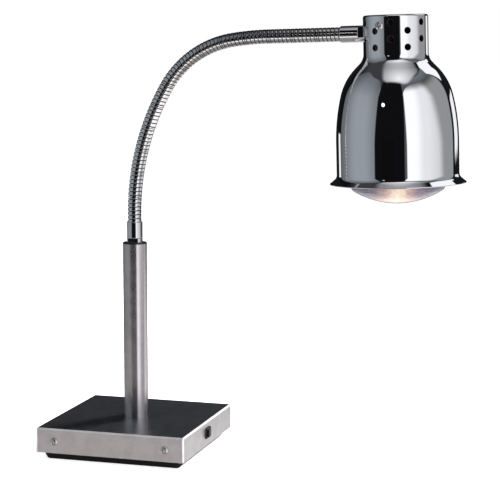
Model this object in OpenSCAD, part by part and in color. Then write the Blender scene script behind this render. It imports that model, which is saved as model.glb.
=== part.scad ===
// Free-standing food heat lamp: square weighted base, upright post, flexible neck, spun reflector shade.
// Millimetres, +Z up. The origin is at the centre of the base, in the plane of its foot pads.
// The neck bends in the plane Y = 0 and reaches towards +X. The rocker switch is on the +X side.

/* [Base cover] */
// Width and depth of the square cover
base_w = 215; // [190:1:260]
// Height of the cover's sides
cover_h = 33; // [31:0.5:45]
// Thickness of the stainless sheet
sheet_t = 1.5; // [1:0.1:2]
// Outside radius of the folded top edges
fold_r = 2.5; // [2:0.5:5]
// Outside radius of the upright corners
corner_r = 2; // [1.5:0.5:4]
// Distance of the side screws from the middle of the cover
cover_screw_x = 80.5; // [60:0.5:90]
// Depth of the side screws below the cover's top
cover_screw_drop = 17; // [16.5:0.5:19]

/* [Tray and pads] */
// Height of the black tray below the cover
tray_show = 11; // [8:0.5:16]
// Inset of the tray from the outside of the cover
tray_inset = 6; // [4:0.5:10]
// Inward slope of the tray's sides below the cover
tray_taper = 5; // [2:0.5:8]
// Wall and floor thickness of the tray
tray_t = 3; // [2.5:0.5:4]
// Radius along the tray's lower edges
tray_edge_r = 4; // [2:0.5:6]
// Radius of the tray's upright corners
tray_corner_r = 10; // [6:1:16]
// Distance from the middle of the base to each tray boss
tray_boss_x = 62; // [50:1:70]
// Diameter of the foot pads
pad_d = 18; // [12:1:24]
// Distance from the middle of the base to each foot pad
pad_x = 80; // [60:1:82]
// Height of the foot pads below the tray, 0 when their soft edges are pressed flush
pad_show = 0; // [0:0.1:1.5]

/* [Ballast] */
// Thickness of the ballast plate
ballast_t = 10; // [8:0.5:12]
// Gap between the ballast plate and the cover's sides
ballast_gap = 0.5; // [0.3:0.1:1.5]

/* [Post] */
// Outside diameter of the post
post_d = 34; // [28:0.5:42]
// Wall of the post
post_t = 2; // [1.5:0.25:3]
// Length of the post's tube
post_len = 248; // [180:1:400]
// Thread diameter of the post's hollow foot bolt
foot_bolt_d = 20; // [16:1:22]
// Flange thickness of the black bush in the post's top
bush_flange_t = 1.5; // [1:0.5:3]

/* [Ferrules] */
// Diameter of the two ferrules
ferrule_d = 22; // [21:0.5:26]
// Length of the ferrule on the post
lower_ferrule_len = 29; // [24:0.5:40]
// Length of the ferrule on the shade
upper_ferrule_len = 31; // [24:0.5:40]
// Width across the spanner flats
flat_w = 16; // [15:0.5:19]
// Length of the spanner flats
flat_len = 6; // [4:0.5:9]
// Diameter of the ferrules' hollow threaded ends
spigot_d = 10; // [9:0.5:11]

/* [Neck] */
// Outside diameter over the crests of the wound neck
neck_d = 19; // [18:0.5:20]
// Diameter at the bottom of the grooves
groove_d = 15.2; // [14.4:0.2:15.6]
// Spacing of the turns
neck_pitch = 5.55; // [5.2:0.01:6]
// Number of rigid lengths that stand for the flexible neck
neck_lengths = 14; // [14]
// Turns in each length
turns_each = 6; // [5:1:7]
// Bore of the neck
neck_bore = 8; // [7:0.5:9]
// Straight length above the lower ferrule
rise_len = 11.5; // [5:0.5:60]
// Radius of the long lower sweep
sweep_r = 345; // [250:5:600]
// Angle turned by the lower sweep
sweep_a = 30.7; // [15:0.1:40]
// Radius of the tight bend
crook_r = 135; // [110:5:200]
// Angle turned by the tight bend
crook_a = 50.4; // [35:0.1:60]
// Radius of the run-out towards the head
run_r = 400; // [250:5:800]
// Upward slope of the neck's end, and backward lean of the head
head_tilt = 1.6; // [0:0.1:10]

/* [Shade] */
// Diameter of the collar at the top of the shade
collar_d = 85.5; // [80:0.5:100]
// Height of the collar's top above the ferrule's axis
collar_up = 23.5; // [20:0.5:30]
// Depth of the collar's lower end below the ferrule's axis
collar_down = 26.5; // [26:0.5:40]
// Largest diameter of the shade's body
dome_d = 162.2; // [156:0.2:180]
// Depth of the rim below the ferrule's axis
rim_down = 198; // [185:0.5:230]
// Thickness of the spun metal
shade_t = 1; // [0.8:0.1:1.5]
// Radius of the bend that opens the flare
flare_r = 8.8; // [6:0.2:15]
// Length of the flare's straight cone
flare_run = 7.5; // [4:0.5:12]
// Diameter of the vent holes
vent_d = 8.5; // [6:0.5:9.5]
// Number of columns of vent holes
vent_columns = 12; // [8:2:12]
// Turn of the vent columns about the shade's axis
vent_turn = 2.6; // [0:0.1:5]
// Height step from one vent row to the next
vent_step = 10.7; // [10:0.1:12]
// Height of the top vent row above the ferrule's axis
vent_top = 13.3; // [12:0.1:15]
// Direction of the collar screw, turned from the front
collar_screw_a = -18; // [-24:1:-16]
// Height of the collar screw above the ferrule's axis
collar_screw_up = 9.2; // [6:0.1:11]

/* [Lamp] */
// Largest diameter of the reflector bulb
bulb_d = 125; // [95:1:128]
// Length of the bulb with its screw cap
bulb_len = 175; // [165:1:180]
// Distance that the bulb's face stands below the rim
bulb_show = 26.5; // [10:0.5:30]
// Radius of the bulb's domed face
bulb_face_r = 112; // [90:1:140]
// Thickness of the bulb's glass
glass_t = 1; // [0.8:0.1:1.5]

/* [Switch] */
// Length of the switch bezel along the base
switch_l = 21; // [20:0.5:30]
// Height of the switch bezel
switch_h = 15; // [13:0.5:16]
// Distance of the switch from the middle of the side, towards the front
switch_ahead = 3.5; // [0:0.5:60]
// Height of the switch's middle below the cover's top
switch_drop = 15; // [14:0.5:17]
// Tilt of the rocker each way from its middle
rocker_tilt = 9; // [5:1:12]

/* [Cable entry] */
// Place of the cable gland along the back of the base
gland_x = -60; // [-70:1:-50]
// Bore of the cable gland
gland_bore = 7.5; // [6:0.5:9]

/* [Hidden] */
$fn = 64;

// Clearance between pieces that slide into each other
fit_gap = 0.1;
// Clearance of screws in plain holes
hole_gap = 0.2;
// Distance that cuts run past a surface
over = 1;

// Heights of the base
cover_z = pad_show + tray_show;
cover_top = cover_z + cover_h;
cover_under = cover_top - sheet_t;
cover_screw_z = cover_top - cover_screw_drop;
ballast_z = cover_screw_z - ballast_t / 2;
ballast_top = ballast_z + ballast_t;
ballast_w = base_w - 2 * (sheet_t + ballast_gap);
tray_w = base_w - 2 * tray_inset;
tray_lip = cover_z + 7;
tray_floor = pad_show + tray_t;
pad_t = 1.6;

// Side screws
pan_d = 11;
pan_h = 3.2;
cover_screw_d = 5;
cover_screw_in = 9;
tray_screw_d = 4;
tray_screw_head = 8;
tray_screw_head_h = 2.5;
boss_d = 11;

// Post and its foot
post_bore = post_d - 2 * post_t;
post_top = cover_top + post_len;
plug_len = 20;
bolt_bore = 10;
washer_t = 2;
washer_d = 34;
nut_w = 30;
nut_h = 9;
bush_len = 16;
bush_inset = 0.2;
bush_z = post_top + bush_flange_t;

// Ferrules
socket_depth = 15;
lead_bore = 7;
locknut_w = 17;
locknut_h = 5;
small_washer_d = 18;
small_washer_t = 1.5;
spigot_len = bush_len + bush_flange_t + small_washer_t + locknut_h + 2;
head_spigot_len = 13;

// Neck route: a rise, three arcs that turn by neck_a in all, and a straight run to the head
neck_z = bush_z + lower_ferrule_len;
neck_turns = neck_lengths * turns_each;
neck_a = 90 - head_tilt;
sweep_s = rise_len + sweep_r * sweep_a * PI / 180;
crook_s = sweep_s + crook_r * crook_a * PI / 180;
run_a = neck_a - sweep_a - crook_a;
function turned(s, s0, r, a) = max(0, min(a, (s - s0) / r * 180 / PI));
function neck_angle(s) = turned(s, rise_len, sweep_r, sweep_a)
    + turned(s, sweep_s, crook_r, crook_a) + turned(s, crook_s, run_r, run_a);
function turn_angle(k) = neck_angle((k - 0.5) * neck_pitch);
function along(a) = [sin(a), 0, cos(a)];
grooves = [for (k = 0, p = [0, 0, neck_z]; k <= neck_turns;
    k = k + 1, p = p + neck_pitch * along(turn_angle(k))) p];
neck_end = grooves[neck_turns];
crest_r = (neck_d - groove_d) / 2;
groove_r = groove_d / 2;
turn_half = crest_r - 0.15;
seat_gap = 0.2;

// Head frame: its origin is where the ferrule's axis meets the shade's axis
collar_r = collar_d / 2;
collar_in = collar_r - shade_t;
head_at = neck_end + (upper_ferrule_len + collar_r) * along(neck_a);

// Shade outline
collar_edge_r = 3;
neck_fillet_r = 18.5;
shoulder_a = 44.5;
shoulder_run = 8.5;
shoulder_r = 77;
side_a = 13.3;
flare_a = 50;
lip_r = 0.8;
dome_r = dome_d / 2;

// Lamp
bulb_r = bulb_d / 2;
bulb_face_z = -rim_down - bulb_show;
bulb_top_z = bulb_face_z + bulb_len;
bulb_corner_r = 7;
bulb_neck_r = 20;
bulb_neck_len = 30;
cap_len = 25;
cap_r = 13;
skirt_r = 14;
shell_gap = 0.2;
shell_t = 0.9;
contact_h = 3;
cap_top = bulb_top_z - contact_h - 3;
skirt_z = cap_top - cap_len;
glass_top = skirt_z - 4;
holder_r = 21;
holder_mouth = skirt_z + 1;
holder_floor = bulb_top_z + 2;
holder_top = holder_floor + 18;
strap_w = 16;
strap_t = 1.5;
strap_r = 40.8 + collar_in - 41.75;
strap_top = collar_screw_up + 7;
holder_screw_x = 13;
collar_pan_d = 8.8;
collar_pan_h = 2.6;
collar_screw_d = 4;

// Switch
switch_z = cover_top - switch_drop;
switch_at = [base_w / 2, -switch_ahead, switch_z];
bezel_t = 2;
bezel_wall = 2.2;
switch_depth = 15;
rocker_l = switch_l - 2 * bezel_wall - 0.8;
rocker_h = switch_h - 2 * bezel_wall - 0.6;
rocker_gap = 0.3;
tab_y = 3.6;
tab_len = 7.5;
pivot_x = bezel_t - 3.4;
pivot_d = 2.4;
notch_w = switch_l + 6;
notch_depth = switch_depth + tab_len + 5;

// Cable gland
gland_z = cover_screw_z;
gland_thread_d = 15.6;
gland_notch = 26;
gland_notch_depth = 20;

// Terminal block
block_at = [-52, -34, tray_floor];
block_size = [26, 20, 13];

// Flexible leads
lead_d = 5.6;
wire_d = 2.4;

// Square with exactly round corners
module round_square(w, d, r) {
    square([w - 2 * r, d], center = true);
    square([w, d - 2 * r], center = true);
    for (x = [-1, 1], y = [-1, 1]) translate([x * (w / 2 - r), y * (d / 2 - r)]) circle(r);
}

// Copies at the four corners of a square
module at_corners(x) {
    for (a = [0 : 90 : 270]) rotate([0, 0, a]) translate([x, x, 0]) children();
}

// Hexagonal nut with a plain bore, standing on z = 0
module hex_nut(w, h, bore) {
    difference() {
        cylinder(d = w / cos(30), h = h, $fn = 6);
        translate([0, 0, -over]) cylinder(d = bore, h = h + 2 * over);
    }
}

// Ring standing on z = 0
module ring(d, h, bore) {
    difference() {
        cylinder(d = d, h = h);
        translate([0, 0, -over]) cylinder(d = bore, h = h + 2 * over);
    }
}

// Pan-head screw with a cross recess, its head above z = 0 and its shank below
module pan_screw(d, h, shank_d, shank_len) {
    crown_r = (d * d / 4 + h * h) / (2 * h);
    difference() {
        union() {
            intersection() {
                translate([0, 0, h - crown_r]) sphere(crown_r, $fn = 96);
                cylinder(d = d - 0.4, h = h);
            }
            cylinder(d = d, h = h * 0.3);
            translate([0, 0, -shank_len]) cylinder(d = shank_d, h = shank_len);
        }
        for (a = [0, 90]) rotate([0, 0, a])
            translate([-d * 0.26, -d * 0.05, h * 0.45]) cube([d * 0.52, d * 0.1, h]);
    }
}

// Path with its corners cut twice, so that it bends smoothly
function eased(p) = concat([p[0]], [for (i = [0 : len(p) - 2])
    each [0.75 * p[i] + 0.25 * p[i + 1], 0.25 * p[i] + 0.75 * p[i + 1]]], [p[len(p) - 1]]);
function unit(v) = v / norm(v);
// Ring of points about p, square to the direction t
function tube_ring(p, t, side, r, n) = let (u = unit(cross(side, t)), v = cross(t, u))
    [for (i = [0 : n - 1]) p + r * (cos(360 * i / n) * u + sin(360 * i / n) * v)];

// Flexible tube along a path, which nowhere runs in the direction of side
module tube(path, d, side, n) {
    last = len(path) - 1;
    points = [for (i = [0 : last]) each tube_ring(path[i],
        unit(path[min(i + 1, last)] - path[max(i - 1, 0)]), side, d / 2, n)];
    walls = [for (i = [0 : last - 1], j = [0 : n - 1]) let (a = i * n + j, b = i * n + (j + 1) % n)
        each [[a, b + n, b], [a, a + n, b + n]]];
    ends = [for (j = [1 : n - 2]) each [[0, j, j + 1], [last * n, last * n + j + 1, last * n + j]]];
    polyhedron(points, concat(walls, ends));
}

// Outer shape of the cover, drawn in by an inset on every side but the lower one
module cover_block(inset, low) {
    high = cover_top - inset;
    w = base_w - 2 * inset;
    intersection() {
        translate([0, 0, low]) linear_extrude(high - low)
            round_square(w, w, max(corner_r - inset, 0.5));
        rotate([90, 0, 0]) linear_extrude(base_w + 2 * over, center = true)
            cover_side(w, low, high, fold_r - inset);
        rotate([90, 0, 90]) linear_extrude(base_w + 2 * over, center = true)
            cover_side(w, low, high, fold_r - inset);
    }
}

// Side view of the cover with its two folded edges
module cover_side(w, low, high, r) {
    translate([-w / 2, low]) square([w, high - low - r]);
    translate([-w / 2 + r, low]) square([w - 2 * r, high - low]);
    for (x = [-1, 1]) translate([x * (w / 2 - r), high - r]) circle(r);
}

module base_cover() {
    color([0.72, 0.71, 0.70]) difference() {
        cover_block(0, cover_z);
        cover_block(sheet_t, cover_z - over);
        translate([0, 0, cover_under - over])
            cylinder(d = foot_bolt_d + 2 * hole_gap, h = sheet_t + 2 * over);
        for (x = [-1, 1]) translate([x * cover_screw_x, 0, cover_screw_z]) rotate([90, 0, 0])
            cylinder(d = cover_screw_d + 2 * hole_gap, h = base_w + 2 * over, center = true);
        translate(switch_at - [sheet_t + over, switch_cut_l / 2, switch_cut_h / 2])
            cube([sheet_t + 2 * over, switch_cut_l, switch_cut_h]);
        translate([gland_x, base_w / 2 + over, gland_z]) rotate([90, 0, 0])
            cylinder(d = gland_thread_d + 2 * hole_gap, h = sheet_t + 2 * over);
    }
}

// Side view of the tray: straight above the cover's lower edge, sloped below it
module tray_side(inset, high) {
    half = tray_w / 2;
    low = pad_show;
    offset(delta = -inset) {
        offset(r = tray_edge_r, $fn = 32) offset(delta = -tray_edge_r) polygon([
            [-half + tray_taper, low], [half - tray_taper, low], [half, cover_z],
            [half, high + 20], [-half, high + 20], [-half, cover_z]
        ]);
    }
}

// Pan of the tray, drawn in by its wall
module tray_block(inset, high) {
    w = tray_w - 2 * inset;
    intersection() {
        linear_extrude(high) round_square(w, w, tray_corner_r - inset);
        rotate([90, 0, 0]) linear_extrude(base_w, center = true) tray_side(inset, high);
        rotate([90, 0, 90]) linear_extrude(base_w, center = true) tray_side(inset, high);
    }
}

module base_tray() {
    color([0.05, 0.05, 0.055]) difference() {
        union() {
            difference() {
                tray_block(0, tray_lip);
                tray_block(tray_t, tray_lip + over);
            }
            at_corners(tray_boss_x) translate([0, 0, pad_show + 0.5])
                cylinder(d = boss_d, h = ballast_z - pad_show - 0.5);
        }
        at_corners(tray_boss_x) {
            cylinder(d = tray_screw_d + 2 * hole_gap, h = ballast_z + over);
            cylinder(d = tray_screw_head + 2 * hole_gap, h = pad_show + tray_screw_head_h + 0.5);
        }
        at_corners(pad_x) cylinder(d = pad_d + 2 * hole_gap, h = pad_t);
    }
}

module foot_pads() {
    color([0.08, 0.08, 0.08]) at_corners(pad_x) cylinder(d = pad_d, h = pad_t);
}

module ballast_plate() {
    color([0.35, 0.36, 0.37]) difference() {
        translate([0, 0, ballast_z]) linear_extrude(ballast_t)
            round_square(ballast_w, ballast_w, 4);
        translate([0, 0, ballast_z - over])
            cylinder(d = foot_bolt_d + 2 * hole_gap, h = ballast_t + 2 * over);
        for (x = [-1, 1], y = [0, 180]) rotate([0, 0, y])
            translate([x * cover_screw_x, -ballast_w / 2 - over, cover_screw_z]) rotate([-90, 0, 0])
                cylinder(d = cover_screw_d + fit_gap, h = cover_screw_in + over);
        at_corners(tray_boss_x) translate([0, 0, ballast_z - over])
            cylinder(d = tray_screw_d + fit_gap, h = 8 + over);
        translate([ballast_w / 2 - notch_depth, -switch_ahead - notch_w / 2, ballast_z - over])
            cube([notch_depth + over, notch_w, ballast_t + 2 * over]);
        translate([gland_x - gland_notch / 2, ballast_w / 2 - gland_notch_depth, ballast_z - over])
            cube([gland_notch, gland_notch_depth + over, ballast_t + 2 * over]);
    }
}

module cover_screws() {
    color([0.75, 0.75, 0.76]) for (x = [-1, 1], a = [0, 180]) rotate([0, 0, a])
        translate([x * cover_screw_x, -base_w / 2, cover_screw_z]) rotate([90, 0, 0])
            pan_screw(pan_d, pan_h, cover_screw_d, sheet_t + ballast_gap + cover_screw_in - 1);
}

module tray_screws() {
    color([0.3, 0.3, 0.31]) at_corners(tray_boss_x) translate([0, 0, pad_show + 0.5]) {
        cylinder(d = tray_screw_head, h = tray_screw_head_h);
        cylinder(d = tray_screw_d, h = ballast_z + 6 - pad_show - 0.5);
    }
}

module post_tube() {
    color([0.6, 0.58, 0.56]) translate([0, 0, cover_top]) ring(post_d, post_len, post_bore);
}

// Plug in the post's foot, with a hollow bolt through the cover and the ballast
module foot_plug() {
    bolt_z = ballast_z - washer_t - nut_h - 2;
    color([0.5, 0.5, 0.5]) difference() {
        union() {
            translate([0, 0, cover_top]) cylinder(d = post_bore - 2 * fit_gap, h = plug_len);
            translate([0, 0, bolt_z]) cylinder(d = foot_bolt_d, h = cover_top - bolt_z + over);
        }
        translate([0, 0, bolt_z - over])
            cylinder(d = bolt_bore, h = cover_top + plug_len - bolt_z + 2 * over);
    }
}

module post_spacer() {
    color([0.45, 0.46, 0.47]) translate([0, 0, ballast_top])
        ring(washer_d, cover_under - ballast_top, foot_bolt_d + 2 * hole_gap);
}

module post_washer() {
    color([0.6, 0.6, 0.6]) translate([0, 0, ballast_z - washer_t])
        ring(washer_d + 4, washer_t, foot_bolt_d + 2 * hole_gap);
}

module post_nut() {
    color([0.55, 0.55, 0.55]) translate([0, 0, ballast_z - washer_t - nut_h])
        hex_nut(nut_w, nut_h, foot_bolt_d + fit_gap);
}

// Black bush that closes the post and carries the lower ferrule
module post_bush() {
    color([0.06, 0.06, 0.06]) difference() {
        union() {
            translate([0, 0, post_top - bush_len])
                cylinder(d = post_bore - 2 * fit_gap, h = bush_len + over);
            translate([0, 0, post_top]) cylinder(d = post_d - 2 * bush_inset, h = bush_flange_t);
        }
        translate([0, 0, post_top - bush_len - over])
            cylinder(d = spigot_d + 2 * hole_gap, h = bush_len + bush_flange_t + 2 * over);
    }
}

// Ferrule along +Z from z = 0, with spanner flats at its foot and the neck's socket at its far end
module ferrule(length, foot) {
    difference() {
        union() {
            translate([0, 0, -foot]) cylinder(d = ferrule_d, h = length + foot - 1);
            translate([0, 0, length - 1]) cylinder(d1 = ferrule_d, d2 = ferrule_d - 1.6, h = 1);
        }
        translate([0, 0, length - socket_depth])
            cylinder(d = groove_d + fit_gap, h = socket_depth + over);
        for (y = [-1, 1]) translate([-ferrule_d / 2, y * (flat_w + ferrule_d) / 2 - ferrule_d / 2, -foot - over])
            cube([ferrule_d, ferrule_d, flat_len + foot + over]);
    }
}

module lower_ferrule() {
    color([0.78, 0.79, 0.8]) translate([0, 0, bush_z]) difference() {
        union() {
            ferrule(lower_ferrule_len, 0);
            translate([0, 0, -spigot_len]) cylinder(d = spigot_d, h = spigot_len + over);
        }
        translate([0, 0, -spigot_len - over]) cylinder(d = lead_bore, h = spigot_len + lower_ferrule_len);
    }
}

module lower_washer() {
    color([0.6, 0.6, 0.6]) translate([0, 0, post_top - bush_len - small_washer_t])
        ring(small_washer_d, small_washer_t, spigot_d + 2 * hole_gap);
}

module lower_locknut() {
    color([0.62, 0.6, 0.45]) translate([0, 0, post_top - bush_len - small_washer_t - locknut_h])
        hex_nut(locknut_w, locknut_h, spigot_d + fit_gap);
}

// One turn of the wound neck: a rounded crest on a core between two groove middles
module neck_turn(k) {
    translate(grooves[k - 1]) rotate([0, turn_angle(k), 0]) translate([0, 0, neck_pitch / 2]) {
        rotate_extrude() translate([groove_r, 0]) circle(crest_r, $fn = 40);
        cylinder(r = groove_r, h = 2 * turn_half, center = true);
    }
}

// Places children in the middle of a groove, with their +Z along the neck
module at_groove(k) {
    translate(grooves[k]) rotate([0, (turn_angle(k) + turn_angle(k + 1)) / 2, 0]) children();
}

// A length of the neck. Its upper end is a ball about the last groove's middle, and the next
// length has the socket, so the lengths turn on each other inside a groove.
module neck_length(i) {
    first = (i - 1) * turns_each + 1;
    last = i * turns_each;
    lower_end = i == 1;
    upper_end = i == neck_lengths;
    color([0.66, 0.67, 0.69]) difference() {
        union() {
            for (k = [first : last]) neck_turn(k);
            for (k = [first : last - (upper_end ? 1 : 0)]) at_groove(k) sphere(groove_r);
            if (lower_end)
                translate([0, 0, neck_z - socket_depth + fit_gap])
                    cylinder(d = groove_d, h = socket_depth + neck_pitch / 2);
            if (upper_end)
                translate(neck_end - neck_pitch / 2 * along(neck_a)) rotate([0, neck_a, 0])
                    cylinder(d = groove_d, h = socket_depth - fit_gap + neck_pitch / 2);
        }
        for (k = [first : last]) {
            translate(grooves[k - 1]) rotate([0, turn_angle(k), 0])
                cylinder(d = neck_bore, h = neck_pitch, $fn = 48);
            if (k < last || !upper_end)
                at_groove(k) sphere(d = neck_bore + 0.8, $fn = 48);
        }
        if (lower_end) translate([0, 0, neck_z - socket_depth - over])
            cylinder(d = neck_bore, h = socket_depth + over + 0.01, $fn = 48);
        if (upper_end) translate(neck_end) rotate([0, neck_a, 0])
            translate([0, 0, -0.01]) cylinder(d = neck_bore, h = socket_depth + over, $fn = 48);
        if (!upper_end) translate(grooves[last]) rotate([0, turn_angle(last), 0])
            cylinder(d = neck_bore, h = groove_d, $fn = 48);
        if (!lower_end) at_groove(first - 1) sphere(groove_r + seat_gap);
    }
}

// Places children in the head's frame
module in_head() {
    translate(head_at) rotate([0, -head_tilt, 0]) children();
}

// Its foot is cut to the curve of the collar
module upper_ferrule() {
    color([0.78, 0.79, 0.8]) in_head() difference() {
        union() {
            difference() {
                translate([-collar_r, 0, 0]) rotate([-18, 0, 0]) rotate([0, -90, 0])
                    ferrule(upper_ferrule_len, 3);
                cylinder(r = collar_r + 0.02, h = ferrule_d + 2 * over, center = true);
            }
            translate([-collar_r - 2, 0, 0]) rotate([0, 90, 0])
                cylinder(d = spigot_d, h = head_spigot_len + 2);
        }
        translate([-collar_r - upper_ferrule_len + socket_depth - over, 0, 0]) rotate([0, 90, 0])
            cylinder(d = lead_bore, h = upper_ferrule_len - socket_depth + head_spigot_len + 2 * over);
    }
}

module saddle_washer() {
    color([0.6, 0.6, 0.6]) in_head() difference() {
        intersection() {
            translate([-collar_r, 0, 0]) rotate([0, 90, 0]) cylinder(d = small_washer_d, h = 5);
            cylinder(r = collar_in - fit_gap, h = small_washer_d, center = true);
        }
        translate([-collar_r, 0, 0]) rotate([0, 90, 0])
            cylinder(d = spigot_d + 2 * hole_gap, h = 6);
    }
}

module upper_locknut() {
    color([0.62, 0.6, 0.45]) in_head() translate([-collar_r + 5, 0, 0]) rotate([0, 90, 0])
        hex_nut(locknut_w, locknut_h, spigot_d + fit_gap);
}

// Points of an arc about c, from angle a0 to a1
function arc(c, r, a0, a1, n) = [for (i = [0 : n]) let (a = a0 + (a1 - a0) * i / n)
    c + r * [cos(a), sin(a)]];

// Outline of the shade from its top's middle to its rim, moved inwards by t
shade_fillet_c = [collar_r + neck_fillet_r, -collar_down];
shoulder_from = shade_fillet_c - neck_fillet_r * [cos(shoulder_a), sin(shoulder_a)]
    + shoulder_run * [sin(shoulder_a), -cos(shoulder_a)];
shoulder_c = shoulder_from - shoulder_r * [cos(shoulder_a), sin(shoulder_a)];
side_from = shoulder_c + shoulder_r * [cos(side_a), sin(side_a)];
side_r = (dome_r - side_from[0]) / (1 - cos(side_a));
side_c = side_from - side_r * [cos(side_a), sin(side_a)];
flare_drop = flare_run * [sin(flare_a), -cos(flare_a)];
flare_z = -rim_down + lip_r + (flare_r + shade_t / 2) * sin(flare_a) - flare_drop[1];
flare_c = [dome_r + flare_r, flare_z];
function shade_outline(t) = concat(
    [[0, collar_up - t]],
    arc([collar_r - collar_edge_r, collar_up - collar_edge_r], collar_edge_r - t, 90, 0, 5),
    arc(shade_fillet_c, neck_fillet_r + t, 180, 180 + shoulder_a, 5),
    arc(shoulder_c, shoulder_r - t, shoulder_a, side_a, 8),
    arc(side_c, side_r - t, side_a, 0, 7),
    arc(flare_c, flare_r + t, 180, 180 + flare_a, 6),
    [flare_c - (flare_r + t) * [cos(flare_a), sin(flare_a)] + flare_drop]
);
function reversed(list) = [for (i = [len(list) - 1 : -1 : 0]) list[i]];
lip_at = flare_c - (flare_r + shade_t / 2) * [cos(flare_a), sin(flare_a)] + flare_drop;

module shade() {
    color([0.8, 0.81, 0.83]) in_head() difference() {
        union() {
            rotate_extrude($fn = 96) polygon(concat(shade_outline(0), reversed(shade_outline(shade_t))));
            rotate_extrude($fn = 96) translate(lip_at) circle(lip_r, $fn = 24);
        }
        for (i = [0 : vent_columns - 1], row = [0, 2])
            if (!(i == arm_column && row + (i % 2) == 1))
                rotate([0, 0, vent_turn + i * 360 / vent_columns])
                    translate([0, -collar_r + 4, vent_top - (row + (i % 2)) * vent_step])
                        rotate([90, 0, 0]) cylinder(d = vent_d, h = 6, $fn = 32);
        translate([-collar_r - over, 0, 0]) rotate([0, 90, 0])
            cylinder(d = spigot_d + 2 * hole_gap, h = 6);
        for (a = [0, 180]) rotate([0, 0, collar_screw_a + a]) translate([0, -collar_r + 4, collar_screw_up])
            rotate([90, 0, 0]) cylinder(d = collar_screw_d + 2 * hole_gap, h = 6, $fn = 32);
    }
}
// Column of vents behind the ferrule
arm_column = round(vent_columns * 3 / 4);

module collar_screws() {
    color([0.78, 0.78, 0.79]) in_head() for (a = [0, 180]) rotate([0, 0, collar_screw_a + a])
        translate([0, -collar_r - 0.2, collar_screw_up]) rotate([90, 0, 0])
            pan_screw(collar_pan_d, collar_pan_h, collar_screw_d, collar_r - strap_r + strap_t + 4);
}

// Strap across the collar that carries the lamp holder
module holder_bracket() {
    web_z = holder_top;
    color([0.62, 0.63, 0.64]) in_head() rotate([0, 0, collar_screw_a]) difference() {
        union() {
            translate([-strap_w / 2, -strap_r, web_z]) cube([strap_w, 2 * strap_r, strap_t]);
            for (s = [-1, 1]) {
                translate([-strap_w / 2, s * (strap_r - strap_t / 2) - strap_t / 2, web_z])
                    cube([strap_w, strap_t, strap_top - web_z]);
                translate([0, s * (strap_r - strap_t - 2.5), collar_screw_up]) rotate([90, 0, 0])
                    cylinder(d = 8, h = 5.2, center = true);
            }
        }
        translate([0, 0, collar_screw_up]) rotate([90, 0, 0])
            cylinder(d = collar_screw_d + fit_gap, h = 2 * strap_r + 2, center = true);
        translate([0, 0, web_z - over]) cylinder(d = 11, h = strap_t + 2 * over);
        for (y = [-1, 1]) translate([0, y * holder_screw_x, web_z - over])
            cylinder(d = 4 + 2 * hole_gap, h = strap_t + 2 * over);
    }
}

module holder_screws() {
    color([0.7, 0.7, 0.7]) in_head() rotate([0, 0, collar_screw_a]) for (y = [-1, 1])
        translate([0, y * holder_screw_x, holder_top + strap_t]) pan_screw(7.5, 2.4, 4, 10);
}

// Porcelain lamp holder
module holder_body() {
    color([0.92, 0.9, 0.86]) in_head() difference() {
        rotate_extrude() polygon([
            [0, holder_mouth], [holder_r - 1, holder_mouth], [holder_r, holder_mouth + 1],
            [holder_r, holder_floor - 6], [holder_r - 2, holder_floor],
            [holder_r - 2, holder_top - 1], [holder_r - 3, holder_top], [0, holder_top]
        ]);
        translate([0, 0, holder_mouth - over]) cylinder(r = cap_r + shell_gap + shell_t + fit_gap, h = holder_floor - holder_mouth + over);
        translate([0, 0, holder_mouth - over]) cylinder(r = skirt_r + 2.5, h = 4 + over);
        translate([0, 0, holder_floor - over]) cylinder(d = 9, h = holder_top - holder_floor + 2 * over);
        rotate([0, 0, collar_screw_a]) for (y = [-1, 1])
            translate([0, y * holder_screw_x, holder_top - 9]) cylinder(d = 4 + fit_gap, h = 10);
    }
}

module holder_shell() {
    color([0.8, 0.6, 0.3]) in_head() translate([0, 0, holder_mouth + 6])
        ring(2 * (cap_r + shell_gap + shell_t), holder_floor - holder_mouth - 9, 2 * (cap_r + shell_gap));
}

// Centre contact of the holder: a post with a leaf that presses on the bulb's tip
module holder_contact() {
    color([0.82, 0.62, 0.32]) in_head() {
        translate([0, 0, bulb_top_z]) cylinder(d = 8, h = 0.8);
        translate([0, 0, bulb_top_z]) cylinder(d = 4, h = 12);
    }
}

// Outline of the bulb's glass from its face's middle to its neck, moved inwards by t
bulb_corner_c = [bulb_r - bulb_corner_r, bulb_face_z + bulb_face_r
    - sqrt(pow(bulb_face_r - bulb_corner_r, 2) - pow(bulb_r - bulb_corner_r, 2))];
bulb_face_a = asin((bulb_r - bulb_corner_r) / (bulb_face_r - bulb_corner_r));
bulb_side_z = bulb_corner_c[1] + 2;
bulb_neck_z = glass_top - bulb_neck_len;
bulb_s_a = 2 * atan((bulb_r - bulb_neck_r) / (bulb_neck_z - bulb_side_z));
bulb_s_r = (bulb_neck_z - bulb_side_z) / sin(bulb_s_a);
bulb_body_r = bulb_s_r * 0.74;
bulb_hollow_r = bulb_s_r - bulb_body_r;
function bulb_face(t) = arc([0, bulb_face_z + bulb_face_r], bulb_face_r - t, -90, -90 + bulb_face_a, 9);
function bulb_corner(t) = arc(bulb_corner_c, bulb_corner_r - t, -90 + bulb_face_a, 0, 5);
function bulb_side(t) = arc([bulb_r - bulb_body_r, bulb_side_z], bulb_body_r - t, 0, bulb_s_a, 9);
function bulb_hollow(t) = arc([bulb_neck_r + bulb_hollow_r, bulb_neck_z], bulb_hollow_r + t,
    180 + bulb_s_a, 180, 5);

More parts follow.
